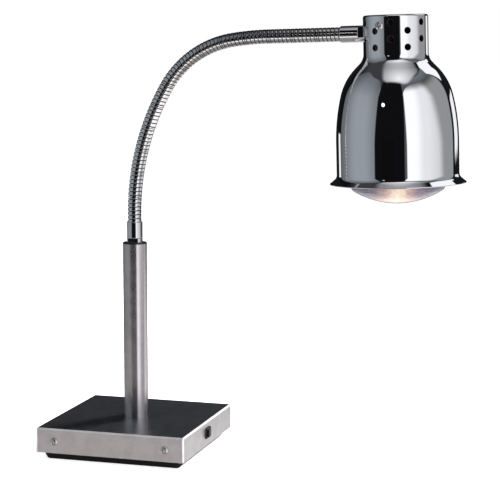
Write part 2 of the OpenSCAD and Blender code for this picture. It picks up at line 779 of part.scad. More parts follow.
module bulb_glass() {
    seat_r = cap_r - 0.7;
    outer = concat(bulb_face(0), bulb_corner(0), bulb_side(0), bulb_hollow(0),
        [[bulb_neck_r, glass_top - 7], [skirt_r - 0.2, glass_top - 0.2],
            [seat_r, glass_top - 0.2], [seat_r, glass_top + 2]]);
    inner = concat(bulb_face(glass_t), bulb_corner(glass_t), bulb_side(glass_t), bulb_hollow(glass_t),
        [[bulb_neck_r - glass_t, glass_top - 7.4], [seat_r - glass_t, glass_top - 1.2],
            [seat_r - glass_t, glass_top + 2]]);
    color([0.95, 0.95, 1, 0.4]) in_head() rotate_extrude($fn = 96) polygon(concat(outer, reversed(inner)));
}

// Mirror layer on the inside of the bulb's side
module bulb_mirror() {
    t0 = glass_t + 0.02;
    t1 = glass_t + 0.3;
    outer = concat(bulb_side(t0), bulb_hollow(t0));
    inner = concat(bulb_side(t1), bulb_hollow(t1));
    color([0.85, 0.86, 0.88]) in_head() rotate_extrude($fn = 96) polygon(concat(outer, reversed(inner)));
}

// Screw cap of the bulb with its plain skirt
module bulb_cap() {
    color([0.75, 0.75, 0.72]) in_head() difference() {
        union() {
            translate([0, 0, skirt_z - 4]) cylinder(r = skirt_r, h = 6);
            translate([0, 0, skirt_z]) cylinder(r = cap_r, h = cap_len);
        }
        translate([0, 0, skirt_z - 5]) cylinder(r = cap_r - 0.4, h = cap_len + 4.5);
        translate([0, 0, cap_top - 2]) cylinder(r = 8, h = 4);
    }
}

module bulb_insulator() {
    color([0.05, 0.05, 0.06]) in_head() difference() {
        translate([0, 0, cap_top - 2]) cylinder(r1 = 8 - fit_gap, r2 = 5, h = 5);
        translate([0, 0, cap_top - 3]) cylinder(d = 2, h = 7);
    }
}

module bulb_contact() {
    color([0.7, 0.7, 0.66]) in_head() translate([0, 0, cap_top + 3]) cylinder(r1 = 4.5, r2 = 3.5, h = contact_h);
}

// Glass stem that carries the filament's wires, with its flare fused to the neck of the bulb
module bulb_stem() {
    flare = cap_r - 0.7 - glass_t - 0.15;
    color([0.9, 0.92, 0.95, 0.5]) in_head() {
        translate([0, 0, glass_top - 34]) cylinder(r1 = 3, r2 = 5, h = 30.5);
        translate([0, 0, glass_top - 4]) cylinder(r1 = 5, r2 = flare, h = 4);
        translate([0, 0, glass_top]) cylinder(r = flare, h = 1);
    }
}

// Lead-in wires and the half ring of coiled filament between them
module filament() {
    fil_z = glass_top - 62;
    half = [[1.5, 0, glass_top - 34], [1.5, 0, glass_top - 36], [3, 0, glass_top - 40], [10, 0, fil_z]];
    color([0.5, 0.5, 0.52]) in_head() {
        for (s = [-1, 1]) tube([for (p = half) [s * p[0], p[1], p[2]]], 0.8, [0, 1, 0], 6);
        translate([0, 0, fil_z]) rotate([0, 0, 180]) rotate_extrude(angle = 180)
            translate([10, 0]) circle(d = 1.6, $fn = 16);
    }
}

// Cut-out for the switch's body
switch_cut_l = switch_l - 1.8;
switch_cut_h = switch_h - 2;

module switch_housing() {
    body_l = switch_cut_l - 0.4;
    body_h = switch_cut_h - 0.4;
    color([0.04, 0.04, 0.045]) translate(switch_at) difference() {
        union() {
            rotate([90, 0, 90]) linear_extrude(bezel_t) round_square(switch_l, switch_h, 2);
            translate([-switch_depth, -body_l / 2, -body_h / 2]) cube([switch_depth + 0.5, body_l, body_h]);
        }
        translate([-switch_depth + 5, -rocker_l / 2 - 0.3, -rocker_h / 2 - rocker_gap])
            cube([switch_depth + 5, rocker_l + 0.6, rocker_h + 2 * rocker_gap]);
        translate([pivot_x, 0, 0]) cylinder(d = pivot_d + 0.1, h = rocker_h + 1.2, center = true);
    }
}

// Rocker at rest with its front end pressed out
module switch_rocker() {
    reach = rocker_l / 2;
    rise = (reach + 1) * tan(rocker_tilt);
    face = bezel_t + 1 - pivot_x;
    color([0.03, 0.03, 0.035]) translate(switch_at + [pivot_x, 0, 0]) rotate([0, 0, rocker_tilt]) {
        intersection() {
            cylinder(r = reach, h = rocker_h, center = true, $fn = 96);
            linear_extrude(rocker_h, center = true) polygon([
                [-3, -reach - 1], [face + rise, -reach - 1], [face, 0],
                [face + rise, reach + 1], [-3, reach + 1]
            ]);
        }
        cylinder(d = pivot_d, h = rocker_h + 1, center = true);
    }
}

module switch_terminals() {
    color([0.8, 0.65, 0.35]) translate(switch_at) for (y = [-tab_y, tab_y])
        translate([-switch_depth - tab_len, y - 2.4, -0.4]) cube([tab_len, 4.8, 0.8]);
}

module terminal_block() {
    color([0.85, 0.84, 0.8]) translate(block_at) difference() {
        translate([-block_size[0] / 2, -block_size[1] / 2, 0]) cube(block_size);
        for (y = [-5, 5]) {
            translate([0, y, block_size[2] / 2]) rotate([0, 90, 0])
                cylinder(d = 3.4, h = block_size[0] + 2 * over, center = true);
            for (x = [-7, 7]) translate([x, y, block_size[2] / 2]) cylinder(d = 4, h = block_size[2]);
        }
    }
}

// Earth stud under the cover's top, with its ring tag and nut
module earth_stud() {
    color([0.75, 0.6, 0.3]) translate([-cover_screw_x + 15, 50, 0]) {
        translate([0, 0, cover_under - 8]) cylinder(d = 4, h = 8);
        translate([0, 0, cover_under - 1.2]) cylinder(d = 9, h = 1.2);
        translate([0, 0, cover_under - 4.4]) cylinder(d = 7 / cos(30), h = 3.2, $fn = 6);
    }
}

module cable_gland() {
    color([0.05, 0.05, 0.055]) translate([gland_x, base_w / 2, gland_z]) rotate([-90, 0, 0]) difference() {
        union() {
            cylinder(d = 19 / cos(30), h = 5, $fn = 6);
            translate([0, 0, 5]) cylinder(d = 18.5, h = 9);
            translate([0, 0, 14]) cylinder(d1 = 18.5, d2 = 13, h = 6);
            translate([0, 0, -9]) cylinder(d = gland_thread_d, h = 9.5);
        }
        translate([0, 0, -9 - over]) cylinder(d = gland_bore, h = 29 + 2 * over);
    }
}

module gland_nut() {
    color([0.07, 0.07, 0.075]) translate([gland_x, base_w / 2 - sheet_t, gland_z]) rotate([90, 0, 0])
        hex_nut(21, 4, gland_thread_d + fit_gap);
}

// Insulated wires from the terminal block and the switch to the post
module base_leads() {
    low = tray_floor + 4;
    tab = switch_at - [switch_depth + tab_len - 2, 0, 0.4];
    near = tab - [0, tab_y, 0];
    far = tab + [0, tab_y, 0];
    start = block_at + [block_size[0] / 2 - 4, 5, block_size[2] / 2];
    color([0.15, 0.2, 0.5]) {
        tube(eased(eased([start, start + [12, 0, 0], [-12, -12, low], [-1.4, -1.4, low]])),
            wire_d, [0, 0, 1], 8);
        tube(eased(eased([start - [0, 10, 0], start + [16, -10, 0], [40, -30, low],
            [near[0] - 8, near[1], low], [near[0], near[1], low + 3], near])), wire_d, [0, 1, 0], 8);
        tube(eased(eased([[1.4, 1.4, low], [24, 6, low], [far[0] - 10, far[1], low],
            [far[0], far[1], low + 3], far])), wire_d, [0, 1, 0], 8);
    }
}

// Sheathed lead from the base, up the post and through the neck, to the collar
module inner_lead() {
    low = tray_floor + 4 + wire_d / 2;
    color([0.12, 0.12, 0.13]) tube(concat([for (z = [low, low + 40, low + 160, neck_z - 10]) [0, 0, z]],
        [for (k = [2 : 2 : neck_turns - 2]) grooves[k]],
        [for (x = [8, 30, upper_ferrule_len + 17]) neck_end + x * along(neck_a)]), lead_d, [0, 1, 0], 8);
}

// Two wires from the end of the inner lead to the lamp holder
module head_leads() {
    from_x = -collar_r + 18.5;
    color([0.5, 0.15, 0.1]) in_head() for (s = [-1, 1])
        tube(eased(eased([[from_x, s * 1.4, 0], [from_x + 12, s * 2, 0], [-2, s * 2.2, -2],
            [-2, s * 2.2, holder_top - 4]])), wire_d - 0.4, [0, 1, 0], 8);
}

base_cover();
base_tray();
foot_pads();
ballast_plate();
cover_screws();
tray_screws();
post_tube();
foot_plug();
post_spacer();
post_washer();
post_nut();
post_bush();
lower_ferrule();
lower_washer();
lower_locknut();
neck_length(1);  // neck_01
neck_length(2);  // neck_02
neck_length(3);  // neck_03
neck_length(4);  // neck_04
neck_length(5);  // neck_05
neck_length(6);  // neck_06
neck_length(7);  // neck_07
neck_length(8);  // neck_08
neck_length(9);  // neck_09
neck_length(10);  // neck_10
neck_length(11);  // neck_11
neck_length(12);  // neck_12
neck_length(13);  // neck_13
neck_length(14);  // neck_14
upper_ferrule();
saddle_washer();
upper_locknut();
shade();
collar_screws();
holder_bracket();
holder_screws();
holder_body();
holder_shell();
holder_contact();
bulb_glass();
bulb_mirror();
bulb_cap();
bulb_insulator();
bulb_contact();
bulb_stem();
filament();
switch_housing();
switch_rocker();
switch_terminals();
terminal_block();
earth_stud();
cable_gland();
gland_nut();
base_leads();
inner_lead();
head_leads();
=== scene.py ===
"""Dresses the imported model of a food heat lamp: brushed base and post, wound neck, mirror shade and lamp."""

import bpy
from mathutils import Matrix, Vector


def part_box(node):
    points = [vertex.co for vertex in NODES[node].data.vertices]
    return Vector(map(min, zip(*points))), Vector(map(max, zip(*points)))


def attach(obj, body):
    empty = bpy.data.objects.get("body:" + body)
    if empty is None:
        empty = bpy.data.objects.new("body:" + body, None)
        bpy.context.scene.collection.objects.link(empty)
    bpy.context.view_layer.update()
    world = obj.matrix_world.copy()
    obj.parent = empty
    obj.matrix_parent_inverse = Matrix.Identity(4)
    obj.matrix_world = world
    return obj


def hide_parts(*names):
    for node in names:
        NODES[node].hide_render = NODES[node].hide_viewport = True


bl_info = {
    "name": "Food heat lamp",
    "version": (1, 0, 0),
    "blender": (4, 5, 0),
    "location": "View3D > Sidebar > Heat lamp",
    "description": "Builds the visible surfaces of a counter lamp that keeps food warm",
    "category": "Add Mesh",
}

from math import asin, atan, cos, degrees, pi, radians, sin, sqrt, tan

import bpy
import numpy as np
from mathutils import Matrix, Vector

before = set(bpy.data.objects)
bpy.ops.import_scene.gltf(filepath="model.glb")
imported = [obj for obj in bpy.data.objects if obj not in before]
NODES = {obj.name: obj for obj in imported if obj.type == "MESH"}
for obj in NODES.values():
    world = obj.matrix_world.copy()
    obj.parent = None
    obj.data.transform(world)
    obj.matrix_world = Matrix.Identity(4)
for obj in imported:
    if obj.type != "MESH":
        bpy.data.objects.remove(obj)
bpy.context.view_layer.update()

# Lengths in the shape code are millimetres, and Skin.build turns them into metres
MM = 0.001


def low_of(node, axis=2):
    """A node's lowest coordinate along an axis, its height unless another is named."""
    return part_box(node)[0][axis] / MM


def high_of(node, axis=2):
    """A node's highest coordinate along an axis, its height unless another is named."""
    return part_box(node)[1][axis] / MM


COVER_LOW, COVER_TOP, COVER_HALF = low_of("base_cover"), high_of("base_cover"), high_of("base_cover", 0)
POST_TOP, BUSH_TOP, NECK_FOOT = high_of("post_tube"), high_of("post_bush"), high_of("lower_ferrule")


# Shapes

# The first and last row of a grid, and the way along it that each faces
ENDS = ((0, -1), (-1, 1))
# Points in one cell of this size, in metres, are merged
WELD = 1.7320508e-6


def unit(v):
    """Vectors divided by their lengths."""
    return v / np.maximum(np.linalg.norm(v, axis=-1, keepdims=True), 1e-12)


def turned(radius, a, z):
    """Points at a radius and a height, at an angle that runs from local -Y towards +X."""
    return np.stack(np.broadcast_arrays(radius * np.sin(a), -radius * np.cos(a), z), -1)


class Place:
    """An origin and three axes at right angles that a local shape is put in."""

    def __init__(self, origin=(0, 0, 0), x=(1, 0, 0), y=(0, 1, 0), z=(0, 0, 1)):
        self.origin = np.array(origin, float)
        self.axes = unit(np.array([x, y, z], float))

    def point(self, p):
        """Frame points of local ones: the origin plus each coordinate times its axis."""
        return self.origin + np.asarray(p, float) @ self.axes

    def turn(self, v):
        """Frame directions of local ones."""
        return np.asarray(v, float) @ self.axes

    def moved(self, p, x, y, z):
        """A place at a local point, with its axes given as local directions."""
        return Place(self.point(p), *(self.turn(v) for v in (x, y, z)))


class Skin:
    """Patches of one closed surface. Points that meet are merged, and each corner keeps the
    normal of its own patch, so that curved metal reflects as the true surface would."""

    def __init__(self, place=None):
        self.place = place or Place()
        self.points, self.normals, self.quads, self.marks = [], [], [], []
        self.count = 0

    def grid(self, points, normals=None, mark=0):
        """Adds a grid of rows by columns, with its quads facing the way of its normals. The mark
        is the number of the finish, for all quads or for each."""
        if normals is None:
            normals = slopes(points)
        rows, columns = points.shape[:2]
        i = np.arange(rows * columns).reshape(rows, columns)
        quads = np.stack([i[:-1, :-1], i[1:, :-1], i[1:, 1:], i[:-1, 1:]], -1).reshape(-1, 4)
        p = points.reshape(-1, 3)
        n = np.broadcast_to(normals, points.shape).reshape(-1, 3)
        corner = p[quads]
        facing = np.cross(corner[:, 2] - corner[:, 0], corner[:, 3] - corner[:, 1])
        if (facing * n[quads].sum(1)).sum() < 0:
            quads = quads[:, ::-1]
        self.points.append(self.place.point(p))
        self.normals.append(self.place.turn(n))
        self.quads.append(quads + self.count)
        self.marks.append(np.broadcast_to(mark, (rows - 1, columns - 1)).ravel())
        self.count += len(p)

    def band(self, first, second, normals, mark=0):
        """A strip from one row of points to another, or to one point."""
        self.grid(np.stack(np.broadcast_arrays(first, second)), normals, mark)

    def build(self, name, looks, body=None, node=None):
        """Makes the mesh object. Quads that lost a corner in the merge become triangles. A piece
        of the lamp rides on a body, has a material slot and stands for a node."""
        p = np.concatenate(self.points) * MM
        n = unit(np.concatenate(self.normals))
        quads = np.concatenate(self.quads)
        marks = np.concatenate(self.marks)
        key = np.round(p / WELD).astype(np.int64)
        _, first, index = np.unique(key, axis=0, return_index=True, return_inverse=True)
        merged = index.reshape(-1)[quads]
        keep = merged != np.roll(merged, -1, 1)
        good = (keep.sum(1) >= 3) & (merged[:, 0] != merged[:, 2]) & (merged[:, 1] != merged[:, 3])
        merged, keep, quads, marks = merged[good], keep[good], quads[good], marks[good]
        loops, total = merged[keep], keep.sum(1)
        mesh = bpy.data.meshes.new(name)
        mesh.vertices.add(len(first))
        mesh.vertices.foreach_set("co", p[first].ravel())
        mesh.loops.add(len(loops))
        mesh.loops.foreach_set("vertex_index", loops.astype(np.int32))
        mesh.polygons.add(len(total))
        mesh.polygons.foreach_set("loop_start", (np.cumsum(total) - total).astype(np.int32))
        mesh.polygons.foreach_set("material_index", marks.astype(np.int32))
        mesh.update(calc_edges=True)
        mesh.polygons.foreach_set("use_smooth", np.ones(len(total), bool))
        mesh.normals_split_custom_set(n[quads][keep].tolist())
        for look in looks.split():
            mesh.materials.append(finish(look))
        piece = bpy.data.objects.new(name, mesh)
        bpy.context.scene.collection.objects.link(piece)
        if body:
            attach(piece, body)
            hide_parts(node)
        return piece


def slopes(points):
    """Normals of a grid from the cross product of its differences along rows and columns. A grid
    whose last column repeats its first is taken as closed."""
    down = np.gradient(points, axis=0)
    if np.allclose(points[:, 0], points[:, -1], atol=1e-6):
        ring = points[:, :-1]
        across = (np.roll(ring, -1, 1) - np.roll(ring, 1, 1)) / 2
        across = np.concatenate([across, across[:, :1]], 1)
    else:
        across = np.gradient(points, axis=1)
    return unit(np.cross(across, down))


def path(corners, closed=False, steps=5):
    """Points and normals along straight lines whose corners (x, y, radius) are rounded by arcs. A
    corner without a radius is sharp, and stands there twice. The normal is the direction of
    travel turned right."""
    c = np.array([k[:2] for k in corners], float)
    points, normals = [], []
    for i, (at, corner) in enumerate(zip(c, corners)):
        before, after = c[i - 1], c[(i + 1) % len(c)]
        if not closed and i in (0, len(c) - 1):
            d = unit(after - at) if i == 0 else unit(at - before)
            points.append(at)
            normals.append([d[1], -d[0]])
            continue
        d1, d2 = unit(at - before), unit(after - at)
        n1 = np.array([d1[1], -d1[0]])
        turn = np.arctan2(d1[0] * d2[1] - d1[1] * d2[0], d1 @ d2)
        radius = corner[2] if len(corner) > 2 else 0
        r = radius if turn > 0 else -radius
        centre = at - d1 * radius * tan(abs(turn) / 2) - r * n1
        for a in turn * np.linspace(0, 1, steps + 1 if radius else 2):
            n = np.array([n1[0] * cos(a) - n1[1] * sin(a), n1[0] * sin(a) + n1[1] * cos(a)])
            points.append(centre + r * n)
            normals.append(n)
    if closed:
        points.append(points[0])
        normals.append(normals[0])
    return np.array(points), np.array(normals)


def arc(centre, radius, a0, a1, steps, hollow=False):
    """Points of an arc and its normals, which point to the centre where it is hollow."""
    a = np.radians(np.linspace(a0, a1, steps + 1))
    n = np.stack([np.cos(a), np.sin(a)], -1)
    return np.array(centre) + radius * n, -n if hollow else n


def joined(*parts):
    """Several runs of points and normals as one."""
    return np.concatenate([p for p, _ in parts]), np.concatenate([n for _, n in parts])


def lathe(skin, profile, steps=96, start=0.0, mark=0):
    """A profile of (radius, height) turned about the local Z axis."""
    p, n = profile
    a = np.linspace(0, 2 * pi, steps + 1) + start
    skin.grid(turned(p[:, :1], a, p[:, 1:]), turned(n[:, :1], a, n[:, 1:]), mark)


def collar_of(skin, loop, profile, mark=0):
    """A closed loop in the local XY plane, moved out by the profile's first coordinate along its
    own normals and up by the second."""
    (q, m), (p, n) = loop, profile
    points = np.empty((len(p), len(q), 3))
    points[..., :2] = q[None] + p[:, None, :1] * m[None]
    points[..., 2] = p[:, 1:]
    normals = np.empty_like(points)
    normals[..., :2] = n[:, None, :1] * m[None]
    normals[..., 2] = n[:, 1:]
    skin.grid(points, normals, mark)


def lid(skin, loop, out, height, up=1, mark=0):
    """A flat cap from a loop to the middle."""
    q, m = loop
    ring = np.concatenate([q + out * m, np.full((len(q), 1), height)], 1)
    skin.band(ring, (0, 0, height), (0, 0, up), mark)


def square_loop(width, depth, radius, steps=8):
    """A rectangle with rounded corners, counter-clockwise."""
    x, y = width / 2, depth / 2
    return path([(-x, -y, radius), (x, -y, radius), (x, y, radius), (-x, y, radius)], True, steps)


def hexagon_loop(across, radius, steps=3):
    """A hexagon across its flats, with rounded corners."""
    a = np.radians(np.arange(6) * 60 + 30)
    r = across / 2 / cos(pi / 6)
    return path([(r * cos(t), r * sin(t), radius) for t in a], True, steps)


def swept(skin, spine, width, sides=12, side=(0, 1, 0)):
    """A round tube: circles of a width about the points of a spine, square to its direction."""
    spine = np.asarray(spine, float)
    t = unit(np.gradient(spine, axis=0))
    u = unit(np.cross(np.array(side, float), t))
    v = np.cross(t, u)
    a = np.linspace(0, 2 * pi, sides + 1)
    n = np.cos(a)[None, :, None] * u[:, None] + np.sin(a)[None, :, None] * v[:, None]
    rings = spine[:, None] + width / 2 * n
    skin.grid(rings, n)
    for end, way in ENDS:
        skin.band(rings[end], spine[end], way * t[end])


def eased(points, times=3):
    """A path whose corners are cut off a quarter of the way along each side, some times over."""
    p = np.asarray(points, float)
    for _ in range(times):
        cut = np.stack([0.75 * p[:-1] + 0.25 * p[1:], 0.25 * p[:-1] + 0.75 * p[1:]], 1)
        p = np.concatenate([p[:1], cut.reshape(-1, 3), p[-1:]])
    return p


# Settings


def length_of(name, description, default):
    """A length that a user can change."""
    return bpy.props.FloatProperty(name=name, description=description, default=default, unit="LENGTH")


def colour_of(name, description, default):
    """A colour that a user can change."""
    return bpy.props.FloatVectorProperty(
        name=name, description=description, default=default, subtype="COLOR", min=0, max=1)


class HeatLampSizes(bpy.types.PropertyGroup):
    """Sizes that the visible surfaces are made to."""

    edge_width: length_of("Edge", "Width of the cover's eased top edges", 0.0017)
    post_width: length_of("Post", "Outside diameter of the post", 0.034)
    neck_width: length_of("Neck", "Diameter over the turns of the neck", 0.019)
    ferrule_width: length_of("Ferrule", "Diameter of the ferrules", 0.022)
    vent_width: length_of("Vent", "Diameter of the holes in the collar", 0.0085)
    bulb_width: length_of("Bulb", "Largest diameter of the reflector bulb", 0.125)


class HeatLampColours(bpy.types.PropertyGroup):
    """Colours and gloss of the main finishes."""

    steel: colour_of("Stainless", "Brushed stainless of base and post", (0.655, 0.62, 0.63))
    steel_roughness: bpy.props.FloatProperty(
        name="Brushing", description="Roughness of the brushed stainless", default=0.38,
        min=0, max=1, subtype="FACTOR")
    chrome: colour_of("Chrome", "Bright plating of neck and ferrules", (0.80, 0.80, 0.81))
    shade: colour_of("Shade", "Mirror finish of the shade", (0.93, 0.935, 0.95))
    moulding: colour_of("Moulding", "Black plastic of tray and bush", (0.007, 0.007, 0.008))
    # The colour of the painted glow in the bulb glass's emission
    glow: colour_of("Glow", "Light across the middle of the bulb's face", (1.0, 0.85, 0.68))


def size(name):
    """A setting of that name, in millimetres."""
    return getattr(bpy.context.scene.heat_lamp_sizes, name) / MM


def toned(colour, by=1.0):
    """A colour, or the setting of that name, times one number or three, and at most 1."""
    if isinstance(colour, str):
        colour = getattr(bpy.context.scene.heat_lamp_colours, colour)
    return tuple(np.minimum(1.0, np.array(tuple(colour)) * by))


# Finishes


class Socket:
    """A node's output. Arithmetic on it adds Math nodes to the same finish."""

    def __init__(self, finish, output):
        self.finish, self.output = finish, output

    def math(self, operation, *values):
        return self.finish.node("ShaderNodeMath", {"operation": operation}, dict(enumerate(values)))

    def __add__(self, other):
        return self.math("ADD", self, other)

    def __sub__(self, other):
        return self.math("SUBTRACT", self, other)

    def __rsub__(self, other):
        return self.math("SUBTRACT", other, self)

    def __mul__(self, other):
        return self.math("MULTIPLY", self, other)

    def __truediv__(self, other):
        return self.math("DIVIDE", self, other)

    def __gt__(self, other):
        return self.math("GREATER_THAN", self, other)

    def __abs__(self):
        return self.math("ABSOLUTE", self)

    def over(self, other):
        """The larger of the two."""
        return self.math("MAXIMUM", self, other)

    def root(self):
        return self.math("SQRT", self)

    __radd__, __rmul__ = __add__, __mul__


class Finish:
    """A material, or the world, made of nodes."""

    def __init__(self, name, world=None):
        self.material = world or bpy.data.materials.new(name)
        self.material.use_nodes = True
        self.tree = self.material.node_tree
        self.tree.nodes.clear()

    def node(self, kind, settings=None, values=None, out=0):
        """Adds a node: its settings first, then the values or links of its inputs. Gives its output
        of that name or number, or several for a tuple of them."""
        node = self.tree.nodes.new(kind)
        for key, value in (settings or {}).items():
            if key == "stops":
                ramp = node.color_ramp
                while len(ramp.elements) < len(value):
                    ramp.elements.new(0.5)
                for stop, (at, colour) in zip(ramp.elements, value):
                    stop.position, stop.color = at, (*colour, 1)
            else:
                setattr(node, key, value)
        for key, value in (values or {}).items():
            if isinstance(value, Socket):
                self.tree.links.new(value.output, node.inputs[key])
            else:
                wanted = node.inputs[key].default_value
                full = hasattr(wanted, "__len__") and len(wanted) == 4 and len(value) == 3
                node.inputs[key].default_value = (*value, 1) if full else value
        if isinstance(out, tuple):
            return [Socket(self, node.outputs[k]) for k in out]
        return Socket(self, node.outputs[out]) if node.outputs else None

    def noise(self, stretch, detail=2.0, rough=0.5):
        """Noise on Object coordinates, in waves per metre: one number, or one for each axis."""
        each = stretch if isinstance(stretch, tuple) else (stretch,) * 3
        at = self.node("ShaderNodeTexCoord", out="Object")
        at = self.node("ShaderNodeMapping", None, {"Vector": at, "Scale": each})
        return self.node("ShaderNodeTexNoise", None, {
            "Vector": at, "Scale": 1.0, "Detail": detail, "Roughness": rough})

    def step(self, value, low, high, to_low=0.0, to_high=1.0):
        """Smooth change from one number to another as a value goes from low to high."""
        return self.node("ShaderNodeMapRange", {"interpolation_type": "SMOOTHSTEP"}, {
            "Value": value, "From Min": low, "From Max": high, "To Min": to_low, "To Max": to_high})

    def mix(self, factor, a, b):
        """Colour that goes from a to b."""
        return self.node("ShaderNodeMix", {"data_type": "RGBA"}, {0: factor, 6: a, 7: b}, out=2)

    def bump(self, height, depth):
        return self.node("ShaderNodeBump", None, {"Height": height, "Distance": depth, "Strength": 1.0})

    def surface(self, **values):
        """Principled surface with spaces in its input names written as underscores."""
        named = {k.replace("_", " "): v for k, v in values.items()}
        return self.end(self.node("ShaderNodeBsdfPrincipled", None, named))

    def end(self, shader):
        self.node("ShaderNodeOutputMaterial", None, {"Surface": shader})
        return self.material


def fine_metal(name, colour, rough, grain, spread=0.08, depth=2e-5, tint=0.06, metallic=1.0, **more):
    """Brushed metal: noise stretched along the grain varies colour and roughness and gives fine
    ridges. The grain is in waves per metre, one number or one each along X, Y and Z."""
    f = Finish(name)
    streaks = f.noise(grain, 3.0, 0.6)
    cloud = f.step(f.noise(70, 4.0), 0.36, 0.64)
    return f.surface(
        Base_Color=f.mix(streaks * 0.6 + cloud * 0.4, toned(colour, 1 - tint), toned(colour, 1 + tint)),
        Metallic=metallic,
        Roughness=(streaks - 0.5) * spread + (cloud - 0.5) * spread * 0.3 + rough,
        Normal=f.bump(streaks, depth), **more)


def sheet_steel(name, grain, tint, tone=1.0, metallic=0.97, spread=0.12, rougher=0.0):
    """Sheet stainless of the cover. Its grain runs along X on top and front, along Y on the sides. A tone
    below 1 darkens a copy of it, as painted shade.
    """
    rough = bpy.context.scene.heat_lamp_colours.steel_roughness + rougher
    return fine_metal(name, toned("steel", tone), rough, grain, spread, 6e-6, tint, metallic)


def tube_steel():
    """Stainless of the post, with its grain and its gloss stretched along Z."""
    return fine_metal("brushed_tube", "steel", 0.22, (1500, 1500, 14), 0.08, 6e-6,
                      Anisotropic=0.7, Anisotropic_Rotation=0.25)


def bright_metal(name, colour, rough, wave=0.0, spread=0.02):
    """Plated or polished metal: near a mirror, with faint clouding and a very shallow waviness."""
    f = Finish(name)
    cloud = f.noise(60, 3.0)
    values = dict(Base_Color=f.mix(cloud, toned(colour, 0.97), toned(colour)), Metallic=1.0,
                  Roughness=f.step(cloud, 0.3, 0.8, rough, rough + spread))
    if wave:
        values["Normal"] = f.bump(f.noise((22, 22, 9), 1.0), wave)
    return f.surface(**values)


def moulded(name, colour, rough, grain=900.0, depth=1.5e-5, specular=0.5):
    """Moulded plastic, rubber or cast metal: a fine even grain and slight clouding."""
    f = Finish(name)
    fine, cloud = f.noise(grain), f.noise(25)
    return f.surface(
        Base_Color=f.mix(cloud, toned(colour, 0.8), toned(colour, 1.15)),
        Roughness=(cloud - 0.5) * 0.1 + (fine - 0.5) * 0.1 + rough,
        Specular_IOR_Level=specular, Normal=f.bump(fine, depth))


def lit_glass():
    """Lit glass whose look is painted into its emission: a painted glow across the middle of the face that
    stands for the coil's light, wider low on the face, and painted shade beside it and towards the top, mauve
    and darker, with fine clouding. Offsets are in millimetres from the lamp's axis."""
    f = Finish("lit_glass")
    at = f.node("ShaderNodeTexCoord", out="Object")
    to = f.node("ShaderNodeVectorMath", {"operation": "SUBTRACT"}, {0: at, 1: tuple(HEAD.origin * MM)})

    def reach(*way):
        """How far a point lies from the axis in a direction."""
        values = {0: to, 1: tuple(c / MM for c in way)}
        return f.node("ShaderNodeVectorMath", {"operation": "DOT_PRODUCT"}, values, "Value")

    coil_turn, band_width = radians(17), 56
    aside = reach(cos(coil_turn), sin(coil_turn), 0)
    up = reach(*HEAD.axes[2]) - BULB_FACE
    spread = abs(aside) + (f.noise(160, 3.0) - 0.5) * 22
    warm = f.node("ShaderNodeValToRGB", {"stops": [
        (0.0, toned("glow")), (0.18, (0.92, 0.70, 0.54)), (0.38, (0.55, 0.36, 0.32)),
        (0.62, (0.25, 0.18, 0.21)), (1.0, (0.11, 0.095, 0.135))]},
        {"Fac": spread / band_width * f.step(up, 3, 17, 0.6, 1.45)})
    # Painted shade: the emission turns dark where the glass is seen edge-on, a painted dark rim
    facing = f.node("ShaderNodeLayerWeight", None, {"Blend": 0.5}, "Facing")
    edge = 0.76, 0.95
    return f.surface(Base_Color=(0.05, 0.05, 0.06), Roughness=0.05, IOR=1.5,
                     Alpha=f.step(facing, *edge, 0.8, 0.96),
                     Emission_Color=f.mix(f.step(facing, *edge), warm, (0.12, 0.11, 0.12)),
                     Emission_Strength=0.85)


